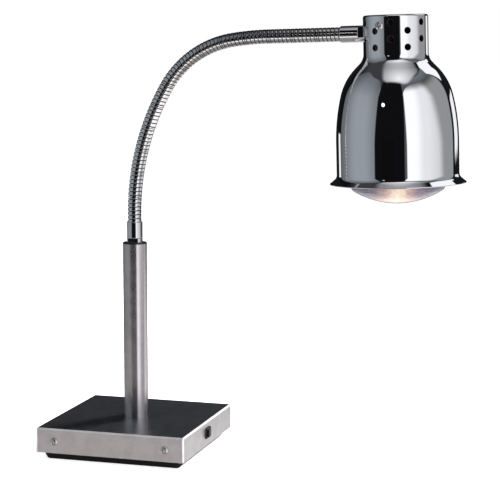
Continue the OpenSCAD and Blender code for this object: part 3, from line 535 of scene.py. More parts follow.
def studio_panels():
    """What the metal mirrors: a dark room with soft panels, painted on the inside of a ball. A place
    on it is given by its angle around, from the front towards the right, and its height angle, in
    degrees. The lit cloth overhead is flat, so it is drawn by the tangents to the right and front."""
    f = Finish("studio_panels")
    at = f.node("ShaderNodeTexCoord", out="Object")
    to = f.node("ShaderNodeVectorMath", {"operation": "NORMALIZE"}, {0: at})
    x, y, z = f.node("ShaderNodeSeparateXYZ", None, {0: to}, (0, 1, 2))
    around = x.math("ARCTAN2", x, 0 - y) * (180 / pi)
    high = z.math("ARCSINE", z) * (180 / pi)
    right, front = x / z.over(0.05), (0 - y) / z.over(0.05)

    def past(value, begin, end, corner):
        """How far a value lies past the straight part of a side, in lengths of its corner."""
        return (abs(value - (begin + end) / 2) - ((end - begin) / 2 - corner)).over(0) / corner

    def sheet(p, q, p0, p1, q0, q1, corner_p, corner_q, soft=0.08):
        """1 inside a rectangle with elliptical corners and 0 outside."""
        across, along = past(p, p0, p1, corner_p), past(q, q0, q1, corner_q)
        return f.step((across * across + along * along).root(), 1 + soft, 1 - soft)

    light = (0.005, 0.005, 0.006)

    def add(mask, tone, level=None):
        """Paints a tone, times a level, over what is there."""
        nonlocal light
        if level is not None:
            tone = f.node("ShaderNodeVectorMath", {"operation": "SCALE"}, {0: tone, "Scale": level})
        light = f.mix(mask, light, tone)

    cool, white, warm = (0.92, 1.0, 1.1), (1.0, 1.0, 1.03), (1.0, 0.955, 0.94)
    # The unlit back of the room, and a dim wall high on the left
    add(f.step(abs(around), 128, 150) * f.step(high, 44, 24), cool, 0.01)
    add(f.step(high, 40, 54) * f.step(around, -135, -118) * f.step(around, -18, -26), (0.045, 0.047, 0.052))
    # The grey panel on the left, and a lit strip low behind it
    add(sheet(around - high * 0.13, high, -121, -26.5, -50, 58.5, 26, 22, 0.05), cool,
        (f.step(around, -122, -68) * 0.2 + 0.14) * f.step(around, -52, -18, 1, 0.62)
        * f.step(high, 14, 60, 1, 0.5))
    add(sheet(around, high, -134, -124, -9, 0.8, 1, 0.5, 0.4), white, 0.95)
    # The white panel on the right, and the grey frame that it stands in
    add(sheet(around, high, 29, 132, -50, 57, 3, 6, 0.2), cool, f.step(high, 44, 56, 0.09, 0.17))
    add(sheet(around + high * 0.12, high, 33.4, 132.5, -50, 47, 26, 18, 0.04), white,
        (1.08 - f.step(around, 48, 66) * 0.24 - f.step(around, 70, 92) * 0.12
         - f.step(around + high * 0.5, 90, 108) * 0.42) * f.step(high, 34, 47, 1, 0.25))
    # The lit cloth overhead, brightest at a point in front, and a long narrow lamp beside it
    away = ((right - 0.25) * (right - 0.25) + (front - 0.45) * (front - 0.45)).root()
    add(sheet(right, front, -0.25, 0.6, -0.25, 0.64, 0.16, 0.2, 0.4), white,
        (0.95 - 1.1 * away).over(0.25))
    add(sheet(right + 0.485 * (front + 1), front, 0.58, 1.1, -1.5, -0.38, 0.05, 0.05, 0.4), white, 1.0)
    # A strip behind on the right, a small lamp in front, and the dark place of the camera
    add(sheet(around, high, 139.5, 158, -0.3, 12, 1.5, 1.5, 0.4), white, 0.95)
    add(sheet(around, high, -14.2, -8.3, 22, 24, 2.2, 0.8, 0.4), white, 2.5)
    add(sheet(around, high, -10, 10, -50, 2, 1, 1, 0.5), white, 0.004)
    # The far part of the floor, and the lit part near the lamp, which starts lower on the right
    low_band = (0.21 - f.step(around, -42, -28) * 0.1 + f.step(around, 22, 40) * 1.2
                - f.step(around, 44, 80) * 0.93 + f.step(around, 104, 118) * 0.5
                - f.step(around, 135, 165) * 0.4)
    add(f.step(high, -8, -10) * f.step(high, -50, -30, 0.3, 1), white, low_band)
    left_floor = f.step(around, -17, -28) * f.step(high, -42, -30)
    floor_level = 1.45 - f.step(around, 100, 140) * 0.4 - left_floor * 0.65
    right_floor = f.step(abs(around - 46), 72, 58)
    add(f.step(high + right_floor * 8, -17.5, -20.5), warm,
        floor_level * f.step(high, -50, -30, 0.22, 1))
    material = f.end(f.node("ShaderNodeEmission", None, {"Color": light, "Strength": 1.0}))
    material.cycles.emission_sampling = "NONE"
    return material


def pale_floor():
    """Pale floor: plain diffuse, with an even glow added to the eye."""
    f = Finish("pale_floor")
    seen = f.node("ShaderNodeLightPath", out="Is Camera Ray")
    matt = f.node("ShaderNodeBsdfDiffuse", None, {"Color": (0.86, 0.86, 0.86)})
    glow = f.node("ShaderNodeEmission", None, {"Color": (1, 1, 1), "Strength": 1.62})
    return f.end(f.node("ShaderNodeMixShader", None, {0: seen * 0.5, 1: matt, 2: glow}))


# The maker of each finish, and what it is given: the material's name, its colour or the setting
# that holds it, its roughness, and then the maker's own values in order
ALONG_X, ALONG_Y = (60, 900, 900), (900, 60, 900)
MAKERS = {
    "sheet": (sheet_steel, "brushed_sheet", ALONG_X, 0.13, 1.0, 0.9),
    # The side and the top are copies of the front's sheet, darkened as painted shade: the side slightly, the
    # top much more and bluer
    "sheet_side": (sheet_steel, "brushed_sheet_side", ALONG_Y, 0.15, (0.94, 0.98, 0.98)),
    "sheet_top": (sheet_steel, "brushed_top", ALONG_X, 0.2, (0.46, 0.50, 0.55), 0.97, 0.14, -0.05),
    "tube": (tube_steel,),
    # A brighter, partly diffuse copy of the sheet for the cover's bends and upright corners: a painted
    # highlight
    "edge": (fine_metal, "bent_edge", (0.84, 0.84, 0.85), 0.42, 200, 0.08, 4e-6, 0.06, 0.72),
    # Dark metal in the neck's grooves and on the sleeves inside its cuts: painted shade where they are deep
    # and narrow
    "groove": (fine_metal, "groove_wire", (0.05, 0.045, 0.045), 0.4, 600, 0.1, 1e-5),
    # Dark brown copies of the shade's metal for its inner wall, the vents' bores and the vents' rounded rims:
    # painted shade
    "inside": (fine_metal, "shade_inside", (0.12, 0.09, 0.08), 0.36, (30, 30, 500), 0.1, 1e-5),
    "vent": (fine_metal, "vent_edge", (0.20, 0.14, 0.13), 0.3, 400, 0.1, 1e-6),
    "strap": (fine_metal, "blued_strap", (0.06, 0.055, 0.06), 0.42, 300, 0.1, 1e-5),
    "zinc": (fine_metal, "zinc_plate", (0.62, 0.62, 0.60), 0.34, 160, 0.1, 1e-5),
    "brass": (fine_metal, "plain_brass", (0.72, 0.5, 0.24), 0.3, 300, 0.1, 1e-5),
    "tungsten": (fine_metal, "tungsten", (0.3, 0.29, 0.28), 0.4, 800, 0.1, 1e-5),
    "chrome": (bright_metal, "bright_chrome", "chrome", 0.07),
    "neck": (bright_metal, "wound_chrome", "chrome", 0.09, 0.0, 0.04),
    "shade": (bright_metal, "mirror_shade", "shade", 0.015, 4e-5, 0.015),
    "screw": (bright_metal, "plated_screw", (0.72, 0.71, 0.71), 0.16, 0.0, 0.08),
    "mirror": (bright_metal, "mirror_coat", (0.9, 0.9, 0.92), 0.05),
    "tray": (moulded, "black_moulding", "moulding", 0.55, 900, 1.5e-5, 0.12),
    "bush": (moulded, "black_bush", "moulding", 0.3, 900, 1.5e-5, 0.3),
    "switch": (moulded, "switch_moulding", (0.004, 0.004, 0.005), 0.3, 1400, 6e-6),
    "pad": (moulded, "pad_rubber", (0.03, 0.03, 0.03), 0.75, 500, 4e-5),
    "iron": (moulded, "painted_iron", (0.05, 0.05, 0.052), 0.6, 300, 8e-5),
    "porcelain": (moulded, "glazed_porcelain", (0.72, 0.69, 0.64), 0.2, 60, 2e-5),
    "stem": (moulded, "stem_glass", (0.6, 0.62, 0.64), 0.08, 60, 1e-6),
    "insulator": (moulded, "black_glass", (0.012, 0.012, 0.02), 0.15, 100, 1e-6),
    "block": (moulded, "pale_moulding", (0.62, 0.61, 0.57), 0.45),
    "gland": (moulded, "gland_moulding", (0.014, 0.014, 0.015), 0.48),
    "sheath": (moulded, "lead_sheath", (0.02, 0.02, 0.024), 0.5, 700, 2e-5),
    "glass": (lit_glass,),
    "panels": (studio_panels,),
    "floor": (pale_floor,),
}
FINISHES = {}


def finish(name):
    """The finish of this name, made when it is first asked for."""
    if name not in FINISHES:
        make, *values = MAKERS[name]
        FINISHES[name] = make(*values)
    return FINISHES[name]


# Places on the object

# The neck: spacing and number of its turns, the stiff lengths that it is made of, its straight
# rise, and the radius and angle of each of its three arcs
PITCH, TURNS, LENGTHS = 5.55, 84, 14
LENGTH = PITCH * TURNS / LENGTHS
RISE = 11.5
BENDS = ((345.0, 30.7), (135.0, 50.4), (400.0, 7.3))


def neck_route():
    """Arc lengths, points and angles from the vertical of the neck's middle line: a straight rise,
    three arcs one after the other, and a straight run. Points are the running sum of directions."""
    spacing, more = 0.05, 20.0
    s = np.arange(-more, PITCH * TURNS + more, spacing)
    angle, begin = np.zeros_like(s), RISE
    for radius, turn in BENDS:
        angle += np.clip(np.degrees((s - begin) / radius), 0, turn)
        begin += radius * radians(turn)
    a = np.radians(angle)
    p = np.cumsum(np.stack([np.sin(a), np.zeros_like(a), np.cos(a)], -1) * spacing, 0)
    return s, p - p[np.searchsorted(s, 0.0)] + np.array([0, 0, NECK_FOOT]), a


ROUTE_S, ROUTE_P, ROUTE_A = neck_route()


def route(s):
    """Point and angle of the neck's middle line at arc lengths s."""
    p = np.stack([np.interp(s, ROUTE_S, ROUTE_P[:, i]) for i in range(3)], -1)
    return p, np.interp(s, ROUTE_S, ROUTE_A)


# The head leans back by the climb that the neck's end has
TILT = radians(1.6)
ARM = np.array([cos(TILT), 0, sin(TILT)])
UPPER_FERRULE, COLLAR_R = 31.0, 42.75
NECK_END = route(PITCH * TURNS)[0]
HEAD = Place(NECK_END + (UPPER_FERRULE + COLLAR_R) * ARM, ARM, (0, 1, 0), (-sin(TILT), 0, cos(TILT)))

# Pieces


class LampOperator:
    """What the piece operators share."""

    bl_options = {"REGISTER"}

    @classmethod
    def poll(cls, context):
        return context.scene is not None


class HEATLAMP_OT_base_cover(LampOperator, bpy.types.Operator):
    """Folded stainless cover of the base: a thin shell with rounded edges, open below"""

    bl_idname = "heatlamp.base_cover"
    bl_label = "Base cover"

    def execute(self, context):
        fold, wall, low, top = size("edge_width"), 1.5, COVER_LOW, COVER_TOP + 1.4
        rim = fold + 0.8
        loop = square_loop(2 * COVER_HALF, 2 * COVER_HALF, fold + 1.0, 6)
        outside = path([(-wall, top - wall), (-wall, low, 0.25), (0, low, 0.25), (0, top - fold, 1.3),
                        (-fold, top, 0.9), (-rim, top)], steps=6)
        # Finishes of the quads: 1 on the two sides, 2 where the sheet turns, 3 on top, 0 elsewhere. All are
        # copies of one brushed sheet: the sides and top darker as painted shade, and the bends and upright
        # corners brighter as a painted highlight.
        right, front = np.abs(loop[1][:-1]).T
        up, height = outside[1][:-1, 1], outside[0][:-1, 1]
        upright = np.abs(up) < 0.1
        bent = ~upright & (up < 0.999) & (height > top - fold - 1.5)
        corner = upright[:, None] & (right > 0.003) & (right < 0.997)
        look = np.where(upright[:, None] & (right > front), 1, 0)
        skin = Skin()
        collar_of(skin, loop, outside, np.where(bent[:, None] | corner, 2, look))
        lid(skin, loop, -rim, top, 1, mark=3)
        lid(skin, loop, -wall, top - wall, -1)
        skin.build("base_cover_sheet", "sheet sheet_side edge sheet_top", "base", "base_cover")
        return {"FINISHED"}


class HEATLAMP_OT_base_tray(LampOperator, bpy.types.Operator):
    """Black moulded tray below the cover, with four pads in its underside"""

    bl_idname = "heatlamp.base_tray"
    bl_label = "Tray and pads"

    def execute(self, context):
        half, low, lip, wall, taper = high_of("base_tray", 0), low_of("base_tray"), COVER_LOW + 7, 3.0, 5.0
        loop, inner = square_loop(2 * half, 2 * half, 10, 10), -taper - 5.5
        skin = Skin()
        collar_of(skin, loop, path([
            (inner, low), (-taper, low, 4), (0, COVER_LOW, 3), (0, lip, 0.4), (-wall, lip, 0.4),
            (-wall, COVER_LOW + 1, 2), (-taper - wall, low + wall, 2), (inner, low + wall)], steps=5))
        lid(skin, loop, inner, low, -1)
        lid(skin, loop, inner, low + wall, 1)
        skin.build("tray_moulding", "tray", "base", "base_tray")
        pads = Skin()
        for x in (-80, 80):
            for y in (-80, 80):
                pads.place = Place((x, y, 0))
                lathe(pads, path([(0, 0.0), (9, 0.0, 0.4), (9, 1.6, 0.2), (0, 1.6)], steps=3), 40)
        pads.build("pads", "pad", "base", "foot_pads")
        return {"FINISHED"}


def pan_screw(skin, height, turn, shank, depth, width=11.4, rings=34, sides=96):
    """Pan head with a cross recess, on a plain shank. Height over the plane: a flat-topped dome of
    the radius, less a depth wherever the point lies in one of the two arms, with sloping walls."""
    below = -0.3
    t = np.linspace(0, 1, rings)[:, None]
    a = np.linspace(0, 2 * pi, sides + 1)[None, :]
    r = width / 2 * np.sin(t * pi / 2) ** 0.9 * np.ones_like(a)
    x, y = r * np.cos(a), r * np.sin(a)
    crown = height * (1 - (2 * r / width) ** 2.6) ** 0.55
    c, s = cos(radians(turn)), sin(radians(turn))
    u, v = np.abs(c * x + s * y), np.abs(-s * x + c * y)
    long, half, wall = width * 0.30, width * 0.062, width * 0.05

    def inside(p, q):
        return np.clip((half - p) / wall + 1, 0, 1) * np.clip((long - q) / wall, 0, 1)

    z = crown - np.maximum(inside(u, v), inside(v, u)) * height * 0.7
    z[-1] = below
    head = np.stack([x, y, z], -1)
    skin.grid(head)
    skin.band(head[-1], (0, 0, below), (0, 0, -1))
    lathe(skin, path([(0, -depth), (shank, -depth), (shank, below), (0, below)]), 24)


class HEATLAMP_OT_screws(LampOperator, bpy.types.Operator):
    """Pan-head screws of the cover and of the collar"""

    bl_idname = "heatlamp.screws"
    bl_label = "Screws"

    def execute(self, context):
        skin = Skin()
        for side, turn in ((-1, 14), (1, 38)):
            for x in (-80.5, 80.5):
                skin.place = Place((x, side * COVER_HALF, COVER_TOP - 17), (-side, 0, 0), (0, 0, 1),
                                   (0, side, 0))
                pan_screw(skin, 3.4, turn + x / 3, 2.5, 12.0)
        skin.build("side_screws", "screw", "base", "cover_screws")
        skin = Skin()
        for azimuth, turn in ((-18, 20), (162, 65)):
            a = radians(azimuth)
            skin.place = HEAD.moved(turned(COLLAR_R + 0.25, a, 9.2), (cos(a), sin(a), 0), (0, 0, 1),
                                    turned(1, a, 0))
            pan_screw(skin, 3.6, turn, 2.0, 9.0)
        skin.build("collar_screw_pair", "screw", "head", "collar_screws")
        return {"FINISHED"}


class HEATLAMP_OT_switch(LampOperator, bpy.types.Operator):
    """Rocker switch on the right side: bezel with a well, and a rocker with a hollow face"""

    bl_idname = "heatlamp.switch"
    bl_label = "Switch"

    def execute(self, context):
        # Position along Y and Z, and how far the body is set in and the well goes in from the bezel
        y, z, body, well = -3.5, COVER_TOP - 15, -0.9, -2.25
        skin = Skin(Place((COVER_HALF, y, z), (0, 1, 0), (0, 0, 1), (1, 0, 0)))
        loop = square_loop(21, 15, 2.6, 6)
        collar_of(skin, loop, path([(body, 0), (0, 0), (0, 2.0, 0.6), (well, 2.0, 0.3), (well, -5)],
                                   steps=4))
        collar_of(skin, loop, path([(body, -15.0), (body, 0)]))
        lid(skin, loop, well, -5, 1)
        lid(skin, loop, body, -15, -1)
        skin.build("switch_bezel", "switch", "base", "switch_housing")
        # The rocker's outline, seen along its axle, with a hollow between its two pressed ends
        reach, tilt, face = 7.9, radians(9), 4.4
        t = np.linspace(-1, 1, 25)
        hollow = list(zip(t * (reach - 0.5), face + 1.28 * np.abs(t) ** 1.7))
        outline = path([(-reach + 1.5, -3.0, 0.6), (reach - 1.5, -3.0, 0.6), (reach, face + 1.1, 0.7),
                        *hollow[-2:0:-1], (-reach, face + 1.1, 0.7)], True, 4)
        skin = Skin(Place((COVER_HALF - 1.4, y, z), (-sin(tilt), cos(tilt), 0), (cos(tilt), sin(tilt), 0),
                          (0, 0, -1)))
        half, edge = 5.0, 0.5
        collar_of(skin, outline, path([(-edge, -half), (0, -half, 0.45), (0, half, 0.45), (-edge, half)],
                                      steps=3))
        for way in (-1, 1):
            lid(skin, outline, -edge, way * half, way)
        skin.build("switch_rocker_face", "switch", "rocker", "switch_rocker")
        return {"FINISHED"}


class HEATLAMP_OT_gland(LampOperator, bpy.types.Operator):
    """Cable gland at the back: hexagon, ribbed cap and bore"""

    bl_idname = "heatlamp.gland"
    bl_label = "Cable gland"

    def execute(self, context):
        skin = Skin(Place((-60, COVER_HALF, COVER_TOP - 17), (-1, 0, 0), (0, 0, 1), (0, 1, 0)))
        bore, foot, base = 3.75, -9, 5
        hexagon = hexagon_loop(19, 1.0)
        collar_of(skin, hexagon, path([(-4, 0), (0, 0, 0.4), (0, base, 0.7), (-2, base)], steps=3))
        lid(skin, hexagon, -4, 0, -1)
        lid(skin, hexagon, -2, base, 1)
        # The cap: radius, height, and how much of the 24 ribs shows there
        cap = np.array([(8.4, base, 0), (9.0, 5.6, 1), (9.0, 13.4, 1), (8.6, 14.0, 0.6), (8.35, 15.5, 0),
                        (7.8, 17.5, 0), (7.0, 19.2, 0), (6.0, 20.0, 0), (3.95, 20.0, 0), (bore, 19.4, 0),
                        (bore, foot, 0)])
        radius, z, ribbed = cap.T[:, :, None]
        t = np.linspace(0, 2 * pi, 241)
        skin.grid(turned(radius * (1 + ribbed * 0.28 / 9.0 * np.sin(t * 24)), t, z))
        lathe(skin, path([(bore, foot), (7.8, foot, 0.4), (7.8, 0)], steps=2), 240)
        skin.build("gland_body", "gland", "base", "cable_gland")
        return {"FINISHED"}


class HEATLAMP_OT_post(LampOperator, bpy.types.Operator):
    """Upright tube and the black bush that closes it"""

    bl_idname = "heatlamp.post"
    bl_label = "Post"

    def execute(self, context):
        r, wall = size("post_width") / 2, 2
        skin = Skin()
        lathe(skin, path([(r - wall, COVER_TOP), (r, COVER_TOP, 0.3), (r, POST_TOP, 0.4),
                          (r - wall, POST_TOP, 0.2), (r - wall, COVER_TOP)], steps=4), 128)
        skin.build("post_sleeve", "tube", "base", "post_tube")
        bore, plug, flange, foot = 5.2, r - wall - 0.1, r - 0.2, POST_TOP - 16
        skin = Skin()
        lathe(skin, path([(bore, foot), (plug, foot, 0.4), (plug, POST_TOP), (flange, POST_TOP, 0.2),
                          (flange, BUSH_TOP, 0.6), (bore, BUSH_TOP, 0.2), (bore, foot)], steps=4), 96)
        skin.build("post_bush_flange", "bush", "base", "post_bush")
        return {"FINISHED"}


def ferrule(skin, length, sides=144, flat=16, flat_length=6):
    """Turned sleeve with two spanner flats. Its radius at an angle is the lesser of the round one
    and the distance to a flat, which is half the width over the cosine of the angle to it."""
    r, bore, cup = size("ferrule_width") / 2, 3.5, length - 10
    a = np.linspace(0, 2 * pi, sides + 1)
    flats = flat / 2 / np.maximum(np.abs(np.cos(a)), 1e-6)
    low = np.minimum(r, flats)
    facing = np.where((flats < r)[:, None], turned(1, np.where(np.cos(a) > 0, 0, pi), 0), turned(1, a, 0))
    skin.band(turned(bore, a, 0), turned(low, a, 0), (0, 0, -1))
    skin.band(turned(low, a, 0), turned(low, a, flat_length), facing)
    skin.band(turned(low, a, flat_length), turned(r - 0.9, a, flat_length), (0, 0, -1))
    lathe(skin, path([(r - 0.9, flat_length), (r, flat_length, 0.85), (r, length, 0.8), (r - 3, length, 0.3),
                      (r - 3, cup)], steps=5), sides)
    lathe(skin, path([(r - 3, cup), (bore, cup), (bore, 0)]), sides)


class HEATLAMP_OT_ferrules(LampOperator, bpy.types.Operator):
    """Two turned ferrules that hold the ends of the neck"""

    bl_idname = "heatlamp.ferrules"
    bl_label = "Ferrules"

    def execute(self, context):
        def spigot(length, top):
            """The plain end below the flats, inside the bush or the collar."""
            lathe(skin, path([(3.5, -length), (5, -length, 0.3), (5, top)], steps=2), 48)

        skin = Skin(Place((0, 0, BUSH_TOP)))
        ferrule(skin, NECK_FOOT - BUSH_TOP)
        spigot(27.0, 0.0)
        skin.build("lower_ferrule_sleeve", "chrome", "base", "lower_ferrule")
        turn = radians(18)
        skin = Skin(HEAD.moved((-COLLAR_R, 0, 0), (0, sin(turn), cos(turn)), (0, cos(turn), -sin(turn)),
                               (-1, 0, 0)))
        ferrule(skin, UPPER_FERRULE)
        # Its foot is cut to the round of the collar
        for p in skin.points:
            local = (p - HEAD.origin) @ HEAD.axes.T
            foot = local[:, 0] > -COLLAR_R - 0.01
            reach = np.sqrt(np.maximum((COLLAR_R + 0.03) ** 2 - local[:, 1] ** 2, 0))
            local[foot, 0] = -reach[foot]
            p[:] = HEAD.point(local)
        spigot(13.0, 0.5)
        skin.build("upper_ferrule_sleeve", "chrome", "head", "upper_ferrule")
        return {"FINISHED"}


# Distances from the middle of a crest to the end of its flat top and to the groove's floor
CREST, GROOVE = 1.95, 2.33


def turn_offset(u):
    """Distance along the neck from the middle of the nearest crest, in millimetres."""
    return np.abs((u - np.floor(u)) - 0.5) * PITCH


def turn_height(u):
    """Radius over the neck's middle line against the place in a turn, from 0 to 1: a broad, nearly
    flat wire with rounded edges between narrow deep grooves."""
    x = turn_offset(u)
    q = np.clip((x - CREST) / (GROOVE - CREST), 0, 1)
    shoulder = 0.45 * (1 - np.sqrt(np.maximum(1 - q * q, 0)))
    groove = np.clip((x - GROOVE) / 0.14, 0, 1) * 1.2
    return size("neck_width") / 2 - 0.05 * (x / GROOVE) ** 2 - shoulder - groove


def neck_frame(s, a):
    """For arc lengths s, one row of them or one for each ring, and the angles a round it: the
    direction, the way out from the middle line, the way round it, and the line itself."""
    p, t = route(s)
    away = np.stack([np.cos(t), 0 * t, -np.sin(t)], -1)
    along = np.stack([np.sin(t), 0 * t, np.cos(t)], -1)
    c, d, y = np.cos(a)[None, :, None], np.sin(a)[None, :, None], np.array([0, 1.0, 0])
    return along, c * away + d * y, c * y - d * away, p


class HEATLAMP_OT_neck(LampOperator, bpy.types.Operator):
    """Wound flexible neck, and the lead inside it"""

    bl_idname = "heatlamp.neck"
    bl_label = "Neck"

    def execute(self, context):
        # Points in a ring, rings in a turn, rings left out beside a cut, and how far the ends go in
        sides, steps, room, sunk = 48, 26, 2, 2.5 * PITCH
        # Radii: the bore, the ends in their ferrules, and the sleeve inside each cut
        bore, end_r, sleeve_low, sleeve_high = 7.35, 7.55, 6.5, 6.9
        a = np.linspace(0, 2 * pi, sides + 1)
        lean = PITCH * (a / (2 * pi) - 0.5)
        bodies = ["base", *("neck_length_%02d" % i for i in range(2, LENGTHS)), "head"]
        top = LENGTH * LENGTHS
        for k, body in enumerate(bodies, 1):
            lowest, highest = k == 1, k == LENGTHS
            begin = -sunk if lowest else (k - 1) * LENGTH
            end = top + sunk if highest else k * LENGTH
            # Rings lean by one turn's spacing, so that a cut follows the helix, along a crest's middle
            s = np.linspace(begin, end, int(round((end - begin) / PITCH * steps)) + 1)
            s = s[0 if lowest else room:len(s) if highest else -room, None] + lean
            along, way, swing, p = neck_frame(s, a)
            u = s / PITCH - a / (2 * pi)
            held = (s < -0.01) | (s > top + 0.01)
            r = np.where(held, end_r, turn_height(u))
            rings, inner = p + r[..., None] * way, p + bore * way
            fine = 1e-3
            rise = (turn_height(u + fine) - turn_height(u - fine)) / (2 * fine * PITCH)
            rise = np.clip(np.where(held, 0, rise), -4, 4)[..., None]
            n = unit(way - rise * along + rise * PITCH / (2 * pi) / r[..., None] * swing)
            # Quads in a groove take the dark second finish, painted shade
            groove_shade = (turn_offset(u) > GROOVE) & ~held
            skin = Skin()
            skin.grid(rings, n, groove_shade[:-1, :-1] | groove_shade[1:, 1:])
            back = np.linspace(len(s) - 1, 0, 13).round().astype(int)
            skin.grid(inner[back], -way[back])
            for e, face in ENDS:
                skin.band(rings[e], inner[e], face * along[e])
            # The wall where the seam of the first turn and of the last turn is open
            for rows, column, face in ((slice(0, steps + 1), 0, -1), (slice(-steps - 1, None), -1, 1)):
                skin.band(rings[rows, column], inner[rows, column], (0, face, 0))
            if not highest:
                cut = np.repeat(np.linspace(end - 4, end + 4, 5)[:, None], sides + 1, 1)
                along, way, swing, p = neck_frame(cut, a)
                low, high = p + sleeve_low * way, p + sleeve_high * way
                # The sleeve in a cut takes the grooves' dark finish, painted shade in the gap
                skin.grid(high, way, 1)
                skin.grid(low[::-1], -way, 1)
                for e, face in ENDS:
                    skin.band(high[e], low[e], face * along[e], 1)
            skin.build("neck_turns_%02d" % k, "neck groove", body, "neck_%02d" % k)
            lead = Skin()
            line = route(np.linspace(begin - (0 if lowest else 2), end + (0 if highest else 2), 14))[0]
            if lowest:
                straight = [[0, 0, z] for z in np.linspace(low_of("inner_lead"), NECK_FOOT - 16, 12)]
                line = np.concatenate([straight, line])
            if highest:
                line = np.concatenate([line, [NECK_END + 47.0 * ARM]])
            swept(lead, line, 5.6, 16)
            lead.build("neck_lead_%02d" % k, "sheath", body, "inner_lead")
        return {"FINISHED"}


# Heights over the head's origin, in the middle of the collar, and the radius of the rolled rim
SHADE_TOP, SHADE_RIM, COLLAR_LOW, BEAD = 23.5, -198.0, -26.5, 0.8
# Places for vents: columns round the collar, edges of the rows, the first column's angle, the
# place that the arm takes, and how many quads a place has across and up
COLUMNS, ROW_EDGES = 12, (18.65, 7.95, -2.75, -13.45, -24.15)
VENT_TURN, ARM_VENT, CELL = 2.6, (9, 1), (12, 6)


def shade_profile(inset):
    """Outline of the shade from the rim up to the collar's foot, moved in by an inset: cone, flare,
    side, shoulder, a short straight run and the hollow fillet below the collar. The side's radius
    is the one that reaches the full width."""
    full, flare, fillet = 81.1, 8.8, 18.5
    a_run, a_side, a_flare = 44.5, 13.3, 50.0
    run, shoulder, cone = 8.5, 77.0, 7.5
    d, e, g = (np.array([cos(radians(a)), sin(radians(a))]) for a in (a_run, a_side, a_flare))
    c1 = np.array([COLLAR_R + fillet, COLLAR_LOW])
    start = c1 - fillet * d + run * np.array([d[1], -d[0]])
    c2 = start - shoulder * d
    p_side = c2 + shoulder * e
    side = (full - p_side[0]) / (1 - e[0])
    c3 = p_side - side * e
    along = cone * np.array([g[1], -g[0]])
    c4 = np.array([full + flare, SHADE_RIM + BEAD + (flare + 0.5) * g[1] - along[1]])
    edge = c4 - (flare + inset) * g
    return joined(
        (np.array([edge + along, edge]), np.array([g, g])),
        arc(c4, flare + inset, 180 + a_flare, 180, 16, True),
        arc(c3, side - inset, 0, a_side, 24),
        arc(c2, shoulder - inset, a_side, a_run, 20),
        arc(c1, fillet + inset, 180 + a_run, 180, 14, True))


def vent_cells():
    """Each place for a vent: angle and height of its middle, half its height, and whether it has
    one. Every other place does, except where the arm goes in."""
    for column in range(COLUMNS):
        middle = radians(VENT_TURN + 360 / COLUMNS * column)
        for row, (top, low) in enumerate(zip(ROW_EDGES, ROW_EDGES[1:])):
            vented = (row - column) % 2 == 0 and (column, row) != ARM_VENT
            yield middle, (top + low) / 2, (top - low) / 2, vented


def cell_edge():
    """Points round the square from -1 to 1, in steps as fine as a cell's quads, and their angles."""
    t, v = (np.linspace(-1, 1, k + 1)[:-1] for k in CELL)
    edge = np.concatenate([np.stack([t, 0 * t - 1], -1), np.stack([0 * v + 1, v], -1),
                           np.stack([-t, 0 * t + 1], -1), np.stack([0 * v - 1, -v], -1)])
    edge = np.concatenate([edge, edge[:1]])
    return edge, np.arctan2(edge[:, 1], edge[:, 0])


def vented_wall(skin, radius, rim, outward, mark):
    """Cylinder wall in cells, one for each vent or blank. A cell with a vent runs in spokes from its
    square edge to the round hole, in angle and height."""
    half = radians(180 / COLUMNS)
    ring = size("vent_width") / 2 + rim
    edge, spoke = cell_edge()
    x, y = ring * np.cos(spoke), ring * np.sin(spoke)
    circle = np.stack([np.arcsin(x / radius), y], -1)
    mix = np.linspace(0, 1, 5)[:, None, None] ** 0.8
    across, up = (np.linspace(-1, 1, k + 1) for k in CELL)
    for middle, z0, dz, vented in vent_cells():
        if vented:
            cell = edge * [half, dz] * (1 - mix) + circle * mix
            a, z = middle + cell[..., 0], z0 + cell[..., 1]
        else:
            a, z = np.meshgrid(middle + half * across, z0 + dz * up)
        skin.grid(turned(radius, a, z), turned(outward, a, 0), mark)


def vent_edges(skin, wall, rim):
    """Inside of each vent: a rounded outer edge of the rim's radius and a straight bore."""
    hole, bends = size("vent_width") / 2, np.linspace(0, pi / 2, 5)
    rings = [(COLLAR_R, hole + rim * (1 - sin(w)), rim * (1 - cos(w)), w) for w in bends]
    rings.append((COLLAR_R - wall, hole, 0, pi / 2))
    _, spoke = cell_edge()
    for middle, z0, _, vented in vent_cells():
        if not vented:
            continue
        out, side = turned(1, middle, 0), np.array([cos(middle), sin(middle), 0])
        bore_n = -(np.cos(spoke)[:, None] * side + np.sin(spoke)[:, None] * [0, 0, 1])
        grid, facing = [], []
        for radius, ring, depth, w in rings:
            x, y = ring * np.cos(spoke), ring * np.sin(spoke)
            a = np.arcsin(x / radius)
            away = radius * np.cos(a) - depth
            grid.append(away[:, None] * out + x[:, None] * side + (z0 + y)[:, None] * [0, 0, 1])
            facing.append(unit(cos(w) * turned(1, middle + a, 0) + sin(w) * bore_n))
        grid, facing, last = np.stack(grid), np.stack(facing), len(bends)
        # The rims take the dark brown vent finish and the bores the dark inside finish: painted shade
        skin.grid(grid[:last], facing[:last], 2)
        skin.grid(grid[last - 1:], facing[last - 1:], 1)


